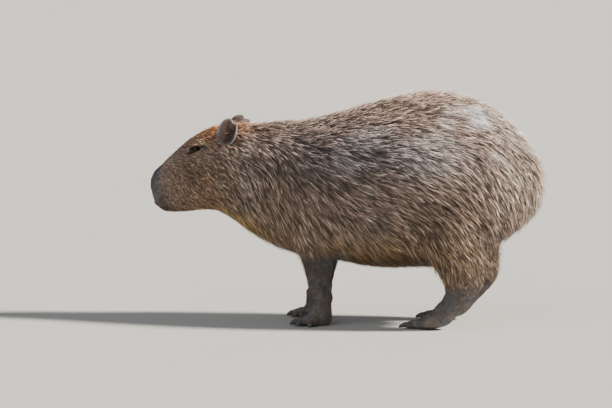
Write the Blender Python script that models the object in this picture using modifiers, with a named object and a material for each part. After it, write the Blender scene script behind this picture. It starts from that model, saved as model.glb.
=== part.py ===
"""A life-size still model of a capybara that stands on its four feet, parted into its body regions.

Metres, +Z up. The nose points to -X, the animal's left side is -Y, and the feet stand on Z = 0.
The sizes below reach to the tips of the coat. The flesh under a coat lies inside them.
"""

import math

import bmesh
import bpy
import numpy as np
from mathutils import Matrix, Vector
from mathutils.bvhtree import BVHTree

# The gap that parts of one body keep, and the side of a block that cuts a part at a plane
GAP = 0.0003
CUTTER_SIZE = 3.0
LEFT, RIGHT = -1, 1
SIDES = {"left": LEFT, "right": RIGHT}

# Trunk, neck and head from the rump to the nose, over the coat:
# place along X, top, height of the widest line, underside, half width, squareness of the section
TRUNK = (
    (0.541, 0.408, 0.385, 0.360, 0.016, 2.0),
    (0.535, 0.440, 0.385, 0.330, 0.046, 2.0),
    (0.513, 0.476, 0.380, 0.298, 0.085, 2.0),
    (0.472, 0.528, 0.375, 0.262, 0.122, 2.0),
    (0.415, 0.578, 0.365, 0.222, 0.150, 2.1),
    (0.345, 0.614, 0.355, 0.178, 0.168, 2.1),
    (0.270, 0.630, 0.345, 0.160, 0.176, 2.1),
    (0.190, 0.627, 0.338, 0.153, 0.177, 2.1),
    (0.110, 0.609, 0.332, 0.150, 0.172, 2.1),
    (0.030, 0.586, 0.330, 0.158, 0.162, 2.1),
    (-0.045, 0.565, 0.332, 0.171, 0.150, 2.1),
    (-0.120, 0.549, 0.338, 0.181, 0.136, 2.1),
    (-0.195, 0.543, 0.350, 0.204, 0.118, 2.1),
    (-0.255, 0.534, 0.368, 0.234, 0.102, 2.1),
    (-0.305, 0.532, 0.386, 0.270, 0.091, 2.15),
    (-0.350, 0.526, 0.388, 0.294, 0.081, 2.25),
    (-0.395, 0.508, 0.378, 0.296, 0.069, 2.4),
    (-0.435, 0.484, 0.368, 0.290, 0.060, 2.5),
    (-0.472, 0.451, 0.360, 0.287, 0.053, 2.6),
    (-0.500, 0.425, 0.356, 0.289, 0.048, 2.6),
    (-0.518, 0.409, 0.356, 0.304, 0.043, 2.5),
    (-0.530, 0.396, 0.360, 0.324, 0.035, 2.3),
    (-0.536, 0.384, 0.364, 0.345, 0.022, 2.1),
)
# The tables place the nose and rump this far off the middle of the whole length
CENTRE_X = 0.0025
RING_POINTS = 32
RINGS_PER_STEP = 2

# Legs over the coat: place along X, outward place, height, half size along X, half size across
FORELEG = (
    (-0.085, 0.070, 0.360, 0.060, 0.050),
    (-0.080, 0.082, 0.285, 0.058, 0.050),
    (-0.068, 0.089, 0.225, 0.050, 0.044),
    (-0.060, 0.088, 0.180, 0.041, 0.038),
    (-0.055, 0.086, 0.140, 0.035, 0.034),
    (-0.051, 0.084, 0.100, 0.031, 0.031),
    (-0.049, 0.083, 0.060, 0.030, 0.031),
    (-0.049, 0.083, 0.030, 0.029, 0.030),
)
HIND_LEG = (
    (0.300, 0.090, 0.400, 0.110, 0.070),
    (0.305, 0.102, 0.320, 0.104, 0.068),
    (0.312, 0.110, 0.255, 0.090, 0.060),
    (0.322, 0.112, 0.205, 0.077, 0.050),
    (0.333, 0.112, 0.165, 0.063, 0.041),
    (0.345, 0.111, 0.132, 0.053, 0.034),
    (0.346, 0.110, 0.105, 0.047, 0.031),
    (0.340, 0.110, 0.085, 0.040, 0.029),
)
LEG_RINGS_PER_STEP = 2
LEG_POINTS = 20
# The pose: how far each foreleg stands from its table along X, and each hock above its table
FORE_SHIFT = {LEFT: 0.0, RIGHT: -0.047}
HOCK_LIFT = {LEFT: 0.0, RIGHT: 0.008}
SHOULDER_HEIGHT = 0.360
HIP_HEIGHT = 0.400

# Planes that part the body: a point in the X-Z plane, and the lean of the cut in degrees
HEAD_CUT = (-0.296, 0.400, 10.0)
NECK_CUT = (-0.182, 0.380, 11.0)
WRIST_HEIGHT = 0.052
HOCK_CUT = (0.350, 0.122, 13.0)
# Blocks that part the legs: low and high along X, inner face, height of the top at each end
FORE_BLOCK = (-0.125, 0.000, 0.034, 0.232, 0.200)
HIND_BLOCK = (0.205, 0.480, 0.036, 0.212, 0.300)
BLOCK_OUTER = 0.30
BLOCK_FOOT = -0.05

BODY_VOXEL = 0.0075
BODY_SMOOTHING = 7
CORE_TRIANGLES = 2600

# Depth of the coat at places along X, on the belly and on the legs by height
COAT_ALONG = ((-0.300, 0.008), (-0.240, 0.018), (-0.150, 0.024), (0.500, 0.024))
COAT_BELLY = 0.016
COAT_LEG = ((0.110, 0.000), (0.160, 0.004), (0.230, 0.014), (0.300, 0.024))
CORE_SHARE = 0.5

# Locks: they start behind this place, above this height, and stand apart by this at place X
LOCK_FRONT = -0.275
LOCK_LOWEST = 0.165
LEG_LOCKS_LOWEST = 0.235
LOCK_SPACING = ((-0.275, 0.055), (-0.180, 0.066), (0.000, 0.084), (0.350, 0.088), (0.480, 0.080))
LOCK_LENGTH = 1.95
LOCK_PLACES = (0.0, 0.20, 0.60, 1.0)
LOCK_RISES = (0.0, 0.60, 0.92, 1.0)
LOCK_HALF_WIDTHS = (0.16, 0.44, 0.44, 0.04)
LOCK_DEPTHS = (0.0040, 0.0035, 0.0030, 0.0010)
LOCK_SINK = 0.009
LOCK_SHORTER = (1.0, 0.75, 0.55)
LOCK_CLEARANCE = 0.004
LOCK_SWAY = 9.0
LOCK_TRIES = 6000
RUMP_LOCK = (0.520, 0.0, 0.455)
SEED = 11

# Eyes, with lids over the ball: place, radius, thickness of the lids, slit
EYE_PLACE = (-0.4020, 0.0450, 0.4590)
EYE_RADIUS = 0.0155
LID_THICKNESS = 0.0022
EYE_FACING = (-0.250, 0.950, 0.180)
SLIT_HALF_LENGTH = 0.0175
SLIT_HALF_HEIGHT = 0.0072
SLIT_RISE = 24.0

# Ears: place of the cup's middle, half width, half height, depth of the cup, wall
EAR_PLACE = (-0.311, 0.070, 0.5135)
EAR_HALF_WIDTH = 0.0305
EAR_HALF_HEIGHT = 0.0360
EAR_DEPTH = 0.020
EAR_WALL = 0.0032
EAR_FACING = (-0.34, 0.90, 0.26)

# Nostrils, mouth and lips
NOSTRIL_PLACE = (-0.5325, 0.0285, 0.3640)
NOSTRIL_SIZE = (0.0055, 0.0050, 0.0080)
MOUTH_CORNER_X = -0.464
MOUTH_FRONT_X = -0.5225
MOUTH_CORNER_Z = 0.3000
MOUTH_FRONT_Z = 0.3110
MOUTH_GROOVE = 0.0023
LIP_RADIUS = 0.0070
CLEFT_MIDDLE = (-0.5315, 0.3300)
CLEFT_TOP = (-0.5375, 0.3480)
CLEFT_SIZES = (0.0024, 0.0020, 0.0008)

# Feet: palm, toes as heading in degrees from straight ahead (outward positive), reach, and claws
PALM_HEIGHT = 0.030
FORE_HEADING = {LEFT: 34.0, RIGHT: 4.0}
FORE_TOES = ((-38.0, 0.058), (-12.0, 0.068), (14.0, 0.067), (42.0, 0.056))
HIND_TOES = ((-20.0, 0.074), (0.0, 0.090), (21.0, 0.072))
HIND_HEADING = {LEFT: 0.0, RIGHT: -2.0}
TOE_RADIUS = 0.0125
FORE_CLAW = 0.015
HIND_CLAW = 0.019

COLOURS = {
    "coat": ((0.235, 0.150, 0.098), 0.85),
    "face": ((0.200, 0.128, 0.080), 0.80),
    "bare_skin": ((0.085, 0.078, 0.085), 0.70),
    "ear": ((0.120, 0.105, 0.105), 0.70),
    "eye": ((0.012, 0.008, 0.006), 0.08),
    "claw": ((0.060, 0.050, 0.045), 0.40),
}


def clear_scene():
    for obj in list(bpy.data.objects):
        bpy.data.objects.remove(obj)


def material(name):
    colour, roughness = COLOURS[name]
    made = bpy.data.materials.get(name) or bpy.data.materials.new(name)
    made.use_nodes = True
    shader = made.node_tree.nodes["Principled BSDF"]
    shader.inputs["Base Color"].default_value = (*colour, 1.0)
    shader.inputs["Roughness"].default_value = roughness
    shader.inputs["Metallic"].default_value = 0.0
    return made


def add_object(name, bm):
    """A new object with this mesh, in the working collection."""
    mesh = bpy.data.meshes.new(name)
    bm.to_mesh(mesh)
    bm.free()
    obj = bpy.data.objects.new(name, mesh)
    bpy.context.scene.collection.objects.link(obj)
    return obj


def finish_node(obj, name, finish, home):
    """Names a node, centres it, gives it its material and puts it in the animal's collection."""
    obj.name = name
    obj.data.name = name
    obj.data.transform(Matrix.Translation((-CENTRE_X, 0, 0)))
    obj.data.materials.clear()
    obj.data.materials.append(material(finish))
    bpy.context.scene.collection.objects.unlink(obj)
    home.objects.link(obj)
    return obj


def copy_of(obj, name):
    twin = bpy.data.objects.new(name, obj.data.copy())
    bpy.context.scene.collection.objects.link(twin)
    return twin


def apply_modifiers(obj):
    graph = bpy.context.evaluated_depsgraph_get()
    mesh = bpy.data.meshes.new_from_object(obj.evaluated_get(graph))
    old = obj.data
    obj.modifiers.clear()
    obj.data = mesh
    bpy.data.meshes.remove(old)


def combine(obj, operation, pieces, solver="EXACT"):
    """Joins or cuts obj with the pieces in one Boolean, and removes them."""
    group = bpy.data.collections.new("pieces")
    bpy.context.scene.collection.children.link(group)
    for piece in pieces:
        group.objects.link(piece)
    boolean = obj.modifiers.new("Combine", "BOOLEAN")
    boolean.operation = operation
    boolean.operand_type = "COLLECTION"
    boolean.collection = group
    boolean.solver = solver
    apply_modifiers(obj)
    for piece in pieces:
        bpy.data.objects.remove(piece)
    bpy.data.collections.remove(group)


def keep_largest(obj):
    """Keeps the closed surface with the most volume, which drops scraps and fills sealed hollows."""
    bm = bmesh.new()
    bm.from_mesh(obj.data)
    bm.faces.ensure_lookup_table()
    seen = set()
    shells = []
    for face in bm.faces:
        if face in seen:
            continue
        shell, waiting = [], [face]
        seen.add(face)
        while waiting:
            here = waiting.pop()
            shell.append(here)
            for edge in here.edges:
                for other in edge.link_faces:
                    if other not in seen:
                        seen.add(other)
                        waiting.append(other)
        shells.append(shell)
    if len(shells) > 1:
        largest = max(shells, key=shell_volume)
        for shell in shells:
            if shell is not largest:
                bmesh.ops.delete(bm, geom=shell, context="FACES")
    bm.to_mesh(obj.data)
    bm.free()


def shell_volume(faces):
    total = 0.0
    for face in faces:
        first = face.verts[0].co
        for a, b in zip(face.verts[1:], face.verts[2:]):
            total += first.dot(a.co.cross(b.co))
    return abs(total) / 6


def cut_plane(obj, point, normal):
    """Takes away what lies on the side the normal points to, with a block as large as the animal."""
    bm = bmesh.new()
    bmesh.ops.create_cube(bm, size=CUTTER_SIZE)
    turn = Vector(normal).to_track_quat("Z", "Y").to_matrix().to_4x4()
    place = Matrix.Translation(Vector(point)) @ turn @ Matrix.Translation((0, 0, CUTTER_SIZE / 2))
    bmesh.ops.transform(bm, matrix=place, verts=bm.verts)
    combine(obj, "DIFFERENCE", [add_object("cutter", bm)], "MANIFOLD")


def leaning_plane(cut, offset):
    """Point and normal of a parting plane, moved by offset along its normal, which points to +X."""
    x, z, lean = cut
    normal = Vector((math.cos(math.radians(lean)), 0, -math.sin(math.radians(lean))))
    return Vector((x, 0, z)) + normal * offset, normal


def smooth_rows(rows, per_step):
    """Rows on a Catmull-Rom curve through the given rows."""
    rows = np.array(rows)
    padded = np.vstack([2 * rows[0] - rows[1], rows, 2 * rows[-1] - rows[-2]])
    found = []
    for p0, p1, p2, p3 in zip(padded, padded[1:], padded[2:], padded[3:]):
        for k in range(per_step):
            t = k / per_step
            bend = (2 * p0 - 5 * p1 + 4 * p2 - p3) * t * t + (3 * p1 - p0 - 3 * p2 + p3) * t**3
            found.append(0.5 * (2 * p1 + (p2 - p0) * t + bend))
    found.append(rows[-1])
    return found


def power(value, exponent):
    return math.copysign(abs(value) ** exponent, value)


def section(row, count=RING_POINTS):
    """One upright ring of the trunk: a rounded box with its widest line at its own height."""
    x, top, wide, bottom, half, square = row
    ring = []
    for k in range(count):
        angle = 2 * math.pi * (k + 0.5) / count
        side, rise = power(math.cos(angle), 2 / square), power(math.sin(angle), 2 / square)
        reach = top - wide if rise > 0 else wide - bottom
        ring.append(Vector((x, half * side, wide + reach * rise)))
    return ring


def loft(name, rings):
    """One closed mesh through rings of equal count, with a flat cap at each end."""
    bm = bmesh.new()
    loops = [[bm.verts.new(point) for point in ring] for ring in rings]
    for low, high in zip(loops, loops[1:]):
        for k in range(len(low)):
            bm.faces.new((low[k - 1], low[k], high[k], high[k - 1]))
    bm.faces.new(loops[0])
    bm.faces.new(loops[-1])
    bmesh.ops.recalc_face_normals(bm, faces=bm.faces)
    return add_object(name, bm)


def sweep(name, points, widths, heights, up, sides):
    """A closed rod along points with an oval section: widths across, heights along up."""
    rings = []
    for k, point in enumerate(points):
        ahead = points[min(k + 1, len(points) - 1)] - points[max(k - 1, 0)]
        across = ahead.cross(Vector(up)).normalized()
        over = across.cross(ahead).normalized()
        ring = []
        for s in range(sides):
            angle = 2 * math.pi * s / sides
            ring.append(point + across * widths[k] * math.cos(angle) + over * heights[k] * math.sin(angle))
        rings.append(ring)
    return loft(name, rings)


def side_of_trunk(x, z):
    """How far out the trunk's surface is at a place along X and a height."""
    rows = np.array(smooth_rows(TRUNK, RINGS_PER_STEP * 2))[::-1]
    _, top, wide, bottom, half, square = (np.interp(x, rows[:, 0], rows[:, c]) for c in range(6))
    reach = top - wide if z > wide else wide - bottom
    share = min(1.0, abs(z - wide) / reach)
    return half * (1 - share**square) ** (1 / square)


def leg_rings(table, side, bend):
    """Rings of a leg: bend gives how far a height is moved along X and up."""
    rings = []
    for x, out, z, along, across in smooth_rows(table, LEG_RINGS_PER_STEP):
        moved_x, moved_z = bend(z)
        ring = []
        for k in range(LEG_POINTS):
            angle = 2 * math.pi * k / LEG_POINTS
            place_y = side * (out + across * math.sin(angle))
            ring.append(Vector((x + moved_x + along * math.cos(angle), place_y, z + moved_z)))
        rings.append(ring)
    return rings


def fore_bend(side):
    return lambda z: (FORE_SHIFT[side] * min(1.0, (SHOULDER_HEIGHT - z) / (SHOULDER_HEIGHT - 0.05)) ** 2, 0.0)


def hind_bend(side):
    return lambda z: (0.0, HOCK_LIFT[side] * min(1.0, (HIP_HEIGHT - z) / (HIP_HEIGHT - 0.12)))


def whole_body():
    """Trunk and upper legs fused into one smooth closed surface, over the coat."""
    pieces = [loft("trunk", [section(row) for row in smooth_rows(TRUNK, RINGS_PER_STEP)])]
    for side in (LEFT, RIGHT):
        pieces.append(loft("foreleg", leg_rings(FORELEG, side, fore_bend(side))))
        pieces.append(loft("hind", leg_rings(HIND_LEG, side, hind_bend(side))))
    body, legs = pieces[0], pieces[1:]
    combine(body, "UNION", legs)
    remesh = body.modifiers.new("Remesh", "REMESH")
    remesh.mode = "VOXEL"
    remesh.voxel_size = BODY_VOXEL
    smooth = body.modifiers.new("Smooth", "SMOOTH")
    smooth.factor = 0.5
    smooth.iterations = BODY_SMOOTHING
    apply_modifiers(body)
    return body


def blend(value, table):
    """Straight-line value between the rows of a table of (place, value)."""
    return float(np.interp(value, [row[0] for row in table], [row[1] for row in table]))


def coat_depth(place, normal):
    """How far the coat's tips stand off the skin."""
    under = max(0.0, -normal.z) ** 2
    deep = min(blend(place.x, COAT_ALONG), blend(place.z, COAT_LEG))
    belly = min(blend(place.x, COAT_ALONG), COAT_BELLY)
    on_leg = 1.0 if place.z < 0.14 else 0.0
    return deep + (belly - deep) * under * (1 - on_leg)


def move_inward(obj, share):
    """Moves the surface in from the coat's tips by a share of the coat's depth."""
    bm = bmesh.new()
    bm.from_mesh(obj.data)
    bm.normal_update()
    moves = [vert.normal * coat_depth(vert.co, vert.normal) * share for vert in bm.verts]
    for vert, move in zip(bm.verts, moves):
        vert.co -= move
    bm.to_mesh(obj.data)
    bm.free()


def ease(value, low, high):
    t = min(1.0, max(0.0, (value - low) / (high - low)))
    return t * t * (3 - 2 * t)


def lie_of_coat(place, normal):
    """The way the hair lies: back along the body, down at the shoulder, low flank, thigh and rump."""
    shoulder = ease(place.x, -0.26, -0.16) * (1 - ease(place.x, -0.04, 0.10))
    low = 1 - ease(place.z, 0.24, 0.46)
    down = 0.12 + 0.55 * low + 0.85 * shoulder * (1 - ease(place.z, 0.42, 0.53))
    down += 1.3 * ease(place.x, 0.30, 0.50) + 0.7 * ease(place.x, 0.20, 0.32) * low
    way = Vector((1, 0, -down)).normalized()
    return (way - normal * way.dot(normal)).normalized()


def lock_roots(tree, obj, rng):
    """Root places spread evenly over the coat, each kept clear of the ones before it."""
    mesh = obj.data
    mesh.calc_loop_triangles()
    corners = np.array([[mesh.vertices[i].co for i in tri.vertices] for tri in mesh.loop_triangles])
    areas = np.linalg.norm(np.cross(corners[:, 1] - corners[:, 0], corners[:, 2] - corners[:, 0]), axis=1)
    picks = rng.choice(len(areas), LOCK_TRIES, p=areas / areas.sum())
    roots = [tree.find_nearest(Vector(RUMP_LOCK))[:2]]
    for pick in picks:
        share = rng.dirichlet((1, 1, 1))
        place = Vector(share @ corners[pick])
        place, normal = tree.find_nearest(place)[:2]
        lowest = LOCK_LOWEST if normal.z < -0.75 else LEG_LOCKS_LOWEST
        if place.x < LOCK_FRONT or place.z < lowest:
            continue
        spacing = blend(place.x, LOCK_SPACING)
        if all((place - other).length > spacing for other, _ in roots):
            roots.append((place, normal))
    return roots


def lock_ring(tree, place, normal, ahead, half_width, rise, depth):
    """Both edges of a lock held over the core's surface, and the low ridge between them."""
    across = ahead.cross(normal).normalized() * half_width
    ring = []
    for point, height in ((place - across, rise), (place + across, rise), (place, rise + depth)):
        nearest, upward = tree.find_nearest(point)[:2]
        ring.append(nearest + upward * height)
    return ring


def lock_rings(tree, place, normal, length, sway):
    """Rings of one flat tapered lock, from a root in the core to a tip at the coat's depth."""
    spacing = blend(place.x, LOCK_SPACING)
    rings = []
    for k, share in enumerate(LOCK_PLACES):
        way = Matrix.Rotation(sway * k, 3, normal) @ lie_of_coat(place, normal)
        depth = LOCK_DEPTHS[k]
        stand = coat_depth(place, normal) * (1 - CORE_SHARE) * LOCK_RISES[k]
        rise = stand - depth if k else -LOCK_SINK
        rings.append(lock_ring(tree, place, normal, way, spacing * LOCK_HALF_WIDTHS[k], rise, depth))
        if share < 1:
            step = length * (LOCK_PLACES[k + 1] - share)
            place, normal = tree.find_nearest(place + way * step)[:2]
    return rings


def region_of(place):
    """The node that a place on the coat belongs to, or none where it is close to a parting cut."""
    point, normal = leaning_plane(HEAD_CUT, LOCK_CLEARANCE)
    if (place - point).dot(normal) < 0:
        return None
    point, normal = leaning_plane(NECK_CUT, 0)
    beyond = (place - point).dot(normal)
    if abs(beyond) < LOCK_CLEARANCE:
        return None
    if beyond < 0:
        return "neck"
    for sizes, shift in ((FORE_BLOCK, FORE_SHIFT[RIGHT]), (HIND_BLOCK, 0.0)):
        low, high, inner, front_top, rear_top = sizes
        share = (place.x - low) / (high - low)
        top = front_top + (rear_top - front_top) * share
        along = low + min(shift, 0.0) - LOCK_CLEARANCE < place.x < high + LOCK_CLEARANCE
        if along and abs(place.y) > inner - LOCK_CLEARANCE and place.z < top + LOCK_CLEARANCE:
            return None
    return "torso"


def make_coat(core):
    """The locks of the coat by node, rooted in the dense core's surface and clear of every cut."""
    mesh = core.data
    tree = BVHTree.FromPolygons([v.co for v in mesh.vertices], [p.vertices for p in mesh.polygons])
    rng = np.random.default_rng(SEED)
    coat = {"torso": [], "neck": []}
    for place, normal in lock_roots(tree, core, rng):
        region = region_of(place)
        length = blend(place.x, LOCK_SPACING) * LOCK_LENGTH * rng.uniform(0.85, 1.15)
        sway = math.radians(rng.uniform(-LOCK_SWAY, LOCK_SWAY))
        for share in LOCK_SHORTER:
            rings = lock_rings(tree, place, normal, length * share, sway)
            if region and all(region_of(point) == region for ring in rings for point in ring):
                coat[region].append(loft("lock", rings))
                break
    return coat


def fewer_faces(obj, triangles):
    decimate = obj.modifiers.new("Decimate", "DECIMATE")
    decimate.ratio = triangles / (2 * len(obj.data.polygons))
    apply_modifiers(obj)


def block(sizes, side, shift, grow):
    """A convex block round one leg, from the middle of the body out and down past the floor."""
    low, high, inner, front_top, rear_top = sizes
    bm = bmesh.new()
    bmesh.ops.create_cube(bm, size=2.0)
    for vert in bm.verts:
        rear, outer, upper = (value > 0 for value in vert.co)
        x = (high + grow if rear else low - grow) + shift
        y = BLOCK_OUTER if outer else inner - grow
        top = (rear_top if rear else front_top) + grow
        vert.co = (x, side * y, top if upper else BLOCK_FOOT)
    if side == LEFT:
        bmesh.ops.reverse_faces(bm, faces=bm.faces)
    return add_object("block", bm)


def leg_blocks(grow):
    blocks = []
    for side in (LEFT, RIGHT):
        blocks.append(block(FORE_BLOCK, side, FORE_SHIFT[side], grow))
        blocks.append(block(HIND_BLOCK, side, 0.0, grow))
    return blocks


def make_torso(body):
    torso = copy_of(body, "torso")
    point, normal = leaning_plane(NECK_CUT, GAP / 2)
    cut_plane(torso, point, -normal)
    combine(torso, "DIFFERENCE", leg_blocks(GAP / 2), "MANIFOLD")
    keep_largest(torso)
    return torso


def with_locks(node, locks):
    combine(node, "UNION", locks, "MANIFOLD")
    keep_largest(node)
    return node


def make_neck(body):
    neck = copy_of(body, "neck")
    point, normal = leaning_plane(NECK_CUT, -GAP / 2)
    cut_plane(neck, point, normal)
    point, normal = leaning_plane(HEAD_CUT, GAP / 2)
    cut_plane(neck, point, -normal)
    keep_largest(neck)
    return neck


def make_foreleg(body, side):
    leg = copy_of(body, "foreleg")
    combine(leg, "INTERSECT", [block(FORE_BLOCK, side, FORE_SHIFT[side], -GAP / 2)], "MANIFOLD")
    cut_plane(leg, (0, 0, WRIST_HEIGHT + GAP / 2), (0, 0, -1))
    keep_largest(leg)
    return leg


def hock_plane(side, offset):
    x, z, lean = HOCK_CUT
    normal = Vector((-math.sin(math.radians(lean)), 0, math.cos(math.radians(lean))))
    return Vector((x, 0, z + HOCK_LIFT[side])) + normal * offset, normal


def make_thigh(body, side):
    thigh = copy_of(body, "thigh")
    combine(thigh, "INTERSECT", [block(HIND_BLOCK, side, 0.0, -GAP / 2)], "MANIFOLD")
    point, normal = hock_plane(side, GAP / 2)
    cut_plane(thigh, point, -normal)
    keep_largest(thigh)
    return thigh


def eye_frame(side):
    """The eye's middle, and the directions out of it, along its slit and across the slit."""
    facing = Vector((EYE_FACING[0], side * EYE_FACING[1], EYE_FACING[2])).normalized()
    rise = math.radians(SLIT_RISE)
    along = Vector((math.cos(rise), 0, math.sin(rise)))
    along = (along - facing * along.dot(facing)).normalized()
    across = facing.cross(along) * side
    return Vector((EYE_PLACE[0], side * EYE_PLACE[1], EYE_PLACE[2])), facing, along, across


def ball(name, centre, radius, segments, rings):
    bm = bmesh.new()
    bmesh.ops.create_uvsphere(bm, u_segments=segments, v_segments=rings, radius=radius)
    bmesh.ops.translate(bm, verts=bm.verts, vec=centre)
    return add_object(name, bm)


def slit_cutter(side):
    """An almond-shaped prism that opens the lids over the ball."""
    centre, facing, along, across = eye_frame(side)
    count = 14
    rings = []
    for depth in (EYE_RADIUS * 0.45, EYE_RADIUS * 2.2):
        ring = []
        for k in range(count):
            angle = 2 * math.pi * k / count
            reach = SLIT_HALF_HEIGHT * power(math.sin(angle), 1.4)
            ring.append(centre + facing * depth + along * SLIT_HALF_LENGTH * math.cos(angle) + across * reach)
        rings.append(ring)
    return loft("slit", rings)


def mouth_line(offset_z, inward, steps=9):
    """Points along the mouth from one corner round the front to the other."""
    half = []
    for k in range(steps):
        t = k / steps
        x = MOUTH_CORNER_X + (MOUTH_FRONT_X - MOUTH_CORNER_X) * (1 - (1 - t) ** 1.6)
        z = MOUTH_CORNER_Z + (MOUTH_FRONT_Z - MOUTH_CORNER_Z) * t * t + offset_z
        out = max(0.0, side_of_trunk(x, z) - inward)
        half.append(Vector((x, out, z)))
    front = Vector((MOUTH_FRONT_X + inward, 0, MOUTH_FRONT_Z + offset_z))
    return [Vector((p.x, -p.y, p.z)) for p in half] + [front] + half[::-1]


def rod_along(name, points, radius, sides=8):
    sizes = [radius * (0.45 if k in (0, len(points) - 1) else 1.0) for k in range(len(points))]
    return sweep(name, points, sizes, sizes, (0, 0, 1), sides)


def make_head():
    rows = [row for row in smooth_rows(TRUNK, 2) if row[0] < -0.24]
    head = loft("head", [section(row) for row in rows])
    point, normal = leaning_plane(HEAD_CUT, -GAP / 2)
    cut_plane(head, point, normal)
    swellings = [rod_along("upper_lip", mouth_line(0.0065, 0.0045), LIP_RADIUS)]
    for side in (LEFT, RIGHT):
        centre = eye_frame(side)[0]
        swellings.append(ball("lids", centre, EYE_RADIUS + LID_THICKNESS, 14, 8))
    combine(head, "UNION", swellings)
    cutters = [rod_along("mouth", mouth_line(0.0, 0.0005), MOUTH_GROOVE, 6)]
    cleft = [Vector((x, 0, z)) for x, z in ((MOUTH_FRONT_X, MOUTH_FRONT_Z), CLEFT_MIDDLE, CLEFT_TOP)]
    cutters.append(sweep("cleft", cleft, CLEFT_SIZES, [CLEFT_SIZES[0]] * 3, (1, 0, 0), 6))
    for side in (LEFT, RIGHT):
        cutters.append(ball("socket", eye_frame(side)[0], EYE_RADIUS + GAP, 14, 8))
        cutters.append(slit_cutter(side))
        nostril = ball("nostril", (0, 0, 0), 1.0, 10, 8)
        place = Vector((NOSTRIL_PLACE[0], side * NOSTRIL_PLACE[1], NOSTRIL_PLACE[2]))
        turn = Matrix.Rotation(side * math.radians(20), 4, "X") @ Matrix.Diagonal((*NOSTRIL_SIZE, 1))
        nostril.data.transform(Matrix.Translation(place) @ turn)
        cutters.append(nostril)
    combine(head, "DIFFERENCE", cutters)
    keep_largest(head)
    return head


def make_eye(side):
    return ball("eye", eye_frame(side)[0], EYE_RADIUS, 14, 8)


def make_ear(side, head):
    """A cup with a rounded rim whose foot is cut to the head."""
    facing = Vector((EAR_FACING[0], side * EAR_FACING[1], EAR_FACING[2])).normalized()
    upward = (Vector((0.10, side * 0.12, 1)) - facing * Vector((0.10, side * 0.12, 1)).dot(facing)).normalized()
    across = facing.cross(upward) * side
    centre = Vector((EAR_PLACE[0], side * EAR_PLACE[1], EAR_PLACE[2]))
    bm = bmesh.new()
    count = 16
    shares = (0.30, 0.65, 0.90, 1.0)
    loops = []
    for share in shares:
        loop = []
        for k in range(count):
            angle = 2 * math.pi * k / count
            depth = -EAR_DEPTH * (1 - share**2.4)
            wide = EAR_HALF_WIDTH * share * math.cos(angle)
            tall = EAR_HALF_HEIGHT * share * power(math.sin(angle), 0.9)
            loop.append(bm.verts.new(centre + facing * depth + across * wide + upward * tall))
        loops.append(loop)
    for low, high in zip(loops, loops[1:]):
        for k in range(count):
            bm.faces.new((low[k - 1], low[k], high[k], high[k - 1]))
    bm.faces.new(loops[0])
    bmesh.ops.recalc_face_normals(bm, faces=bm.faces)
    ear = add_object("ear", bm)
    wall = ear.modifiers.new("Solidify", "SOLIDIFY")
    wall.thickness = EAR_WALL
    wall.offset = 0.0
    apply_modifiers(ear)
    combine(ear, "DIFFERENCE", [swollen(head, GAP)])
    keep_largest(ear)
    return ear


def swollen(obj, distance):
    """A copy of obj grown outward by a small distance."""
    twin = copy_of(obj, "swollen")
    bm = bmesh.new()
    bm.from_mesh(twin.data)
    bm.normal_update()
    moves = [vert.normal * distance * 1.3 for vert in bm.verts]
    for vert, move in zip(bm.verts, moves):
        vert.co += move
    bm.to_mesh(twin.data)
    bm.free()
    return twin


def toe_direction(side, heading):
    turn = math.radians(heading)
    return Vector((-math.cos(turn), side * math.sin(turn), 0))


def level_rod(name, start, ahead, table, sides=8):
    """A closed rod with upright sections: distance ahead, height, half width and half height of each."""
    across = Vector((-ahead.y, ahead.x, 0))
    rings = []
    for distance, height, wide, tall in table:
        middle = Vector((start.x, start.y, height)) + ahead * distance
        ring = []
        for k in range(sides):
            angle = 2 * math.pi * (k + 0.5) / sides
            ring.append(middle + across * wide * math.cos(angle) + Vector((0, 0, tall * math.sin(angle))))
        rings.append(ring)
    return loft(name, rings)


def toe_and_claw(side, start, heading, reach, claw_length):
    """A toe from the palm to its end face, and the claw that stands off it by the gap."""
    ahead = toe_direction(side, heading)
    toe = level_rod("toe", start, ahead, (
        (reach * 0.05, start.z * 0.65, 0.0135, 0.0190),
        (reach * 0.38, 0.0150, 0.0130, 0.0165),
        (reach * 0.72, 0.0115, 0.0120, 0.0135),
        (reach * 0.93, 0.0095, 0.0105, 0.0115),
        (reach, 0.0090, 0.0086, 0.0095),
    ))
    base = reach + GAP
    claw = level_rod("claw", start, ahead, (
        (base, 0.0100, 0.0078, 0.0080),
        (base + claw_length * 0.40, 0.0090, 0.0074, 0.0068),
        (base + claw_length * 0.78, 0.0068, 0.0054, 0.0045),
        (base + claw_length, 0.0045, 0.0024, 0.0022),
    ), 6)
    return toe, claw


def make_forefoot(side):
    """Wrist, palm and four toes with flat soles, and the four claws."""
    last = FORELEG[-1]
    x, y = last[0] + FORE_SHIFT[side], side * last[1]
    rings = []
    sizes = ((0.075, 0.030, 0.031), (0.052, 0.030, 0.031), (0.036, 0.031, 0.032), (0.020, 0.032, 0.033))
    for z, along, across in sizes + ((0.006, 0.028, 0.029), (-0.003, 0.025, 0.026)):
        ring = []
        for k in range(16):
            angle = 2 * math.pi * k / 16
            ring.append(Vector((x + along * math.cos(angle), y + across * math.sin(angle), z)))
        rings.append(ring)
    foot = loft("forefoot", rings)
    toes, claws = [], []
    for turn, reach in FORE_TOES:
        heading = FORE_HEADING[side] + turn
        toe, claw = toe_and_claw(side, Vector((x, y, PALM_HEIGHT)), heading, reach, FORE_CLAW)
        toes.append(toe)
        claws.append(claw)
    combine(foot, "UNION", toes)
    cut_plane(foot, (0, 0, WRIST_HEIGHT - GAP / 2), (0, 0, 1))
    cut_plane(foot, (0, 0, 0), (0, 0, -1))
    keep_largest(foot)
    return foot, claws


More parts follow.
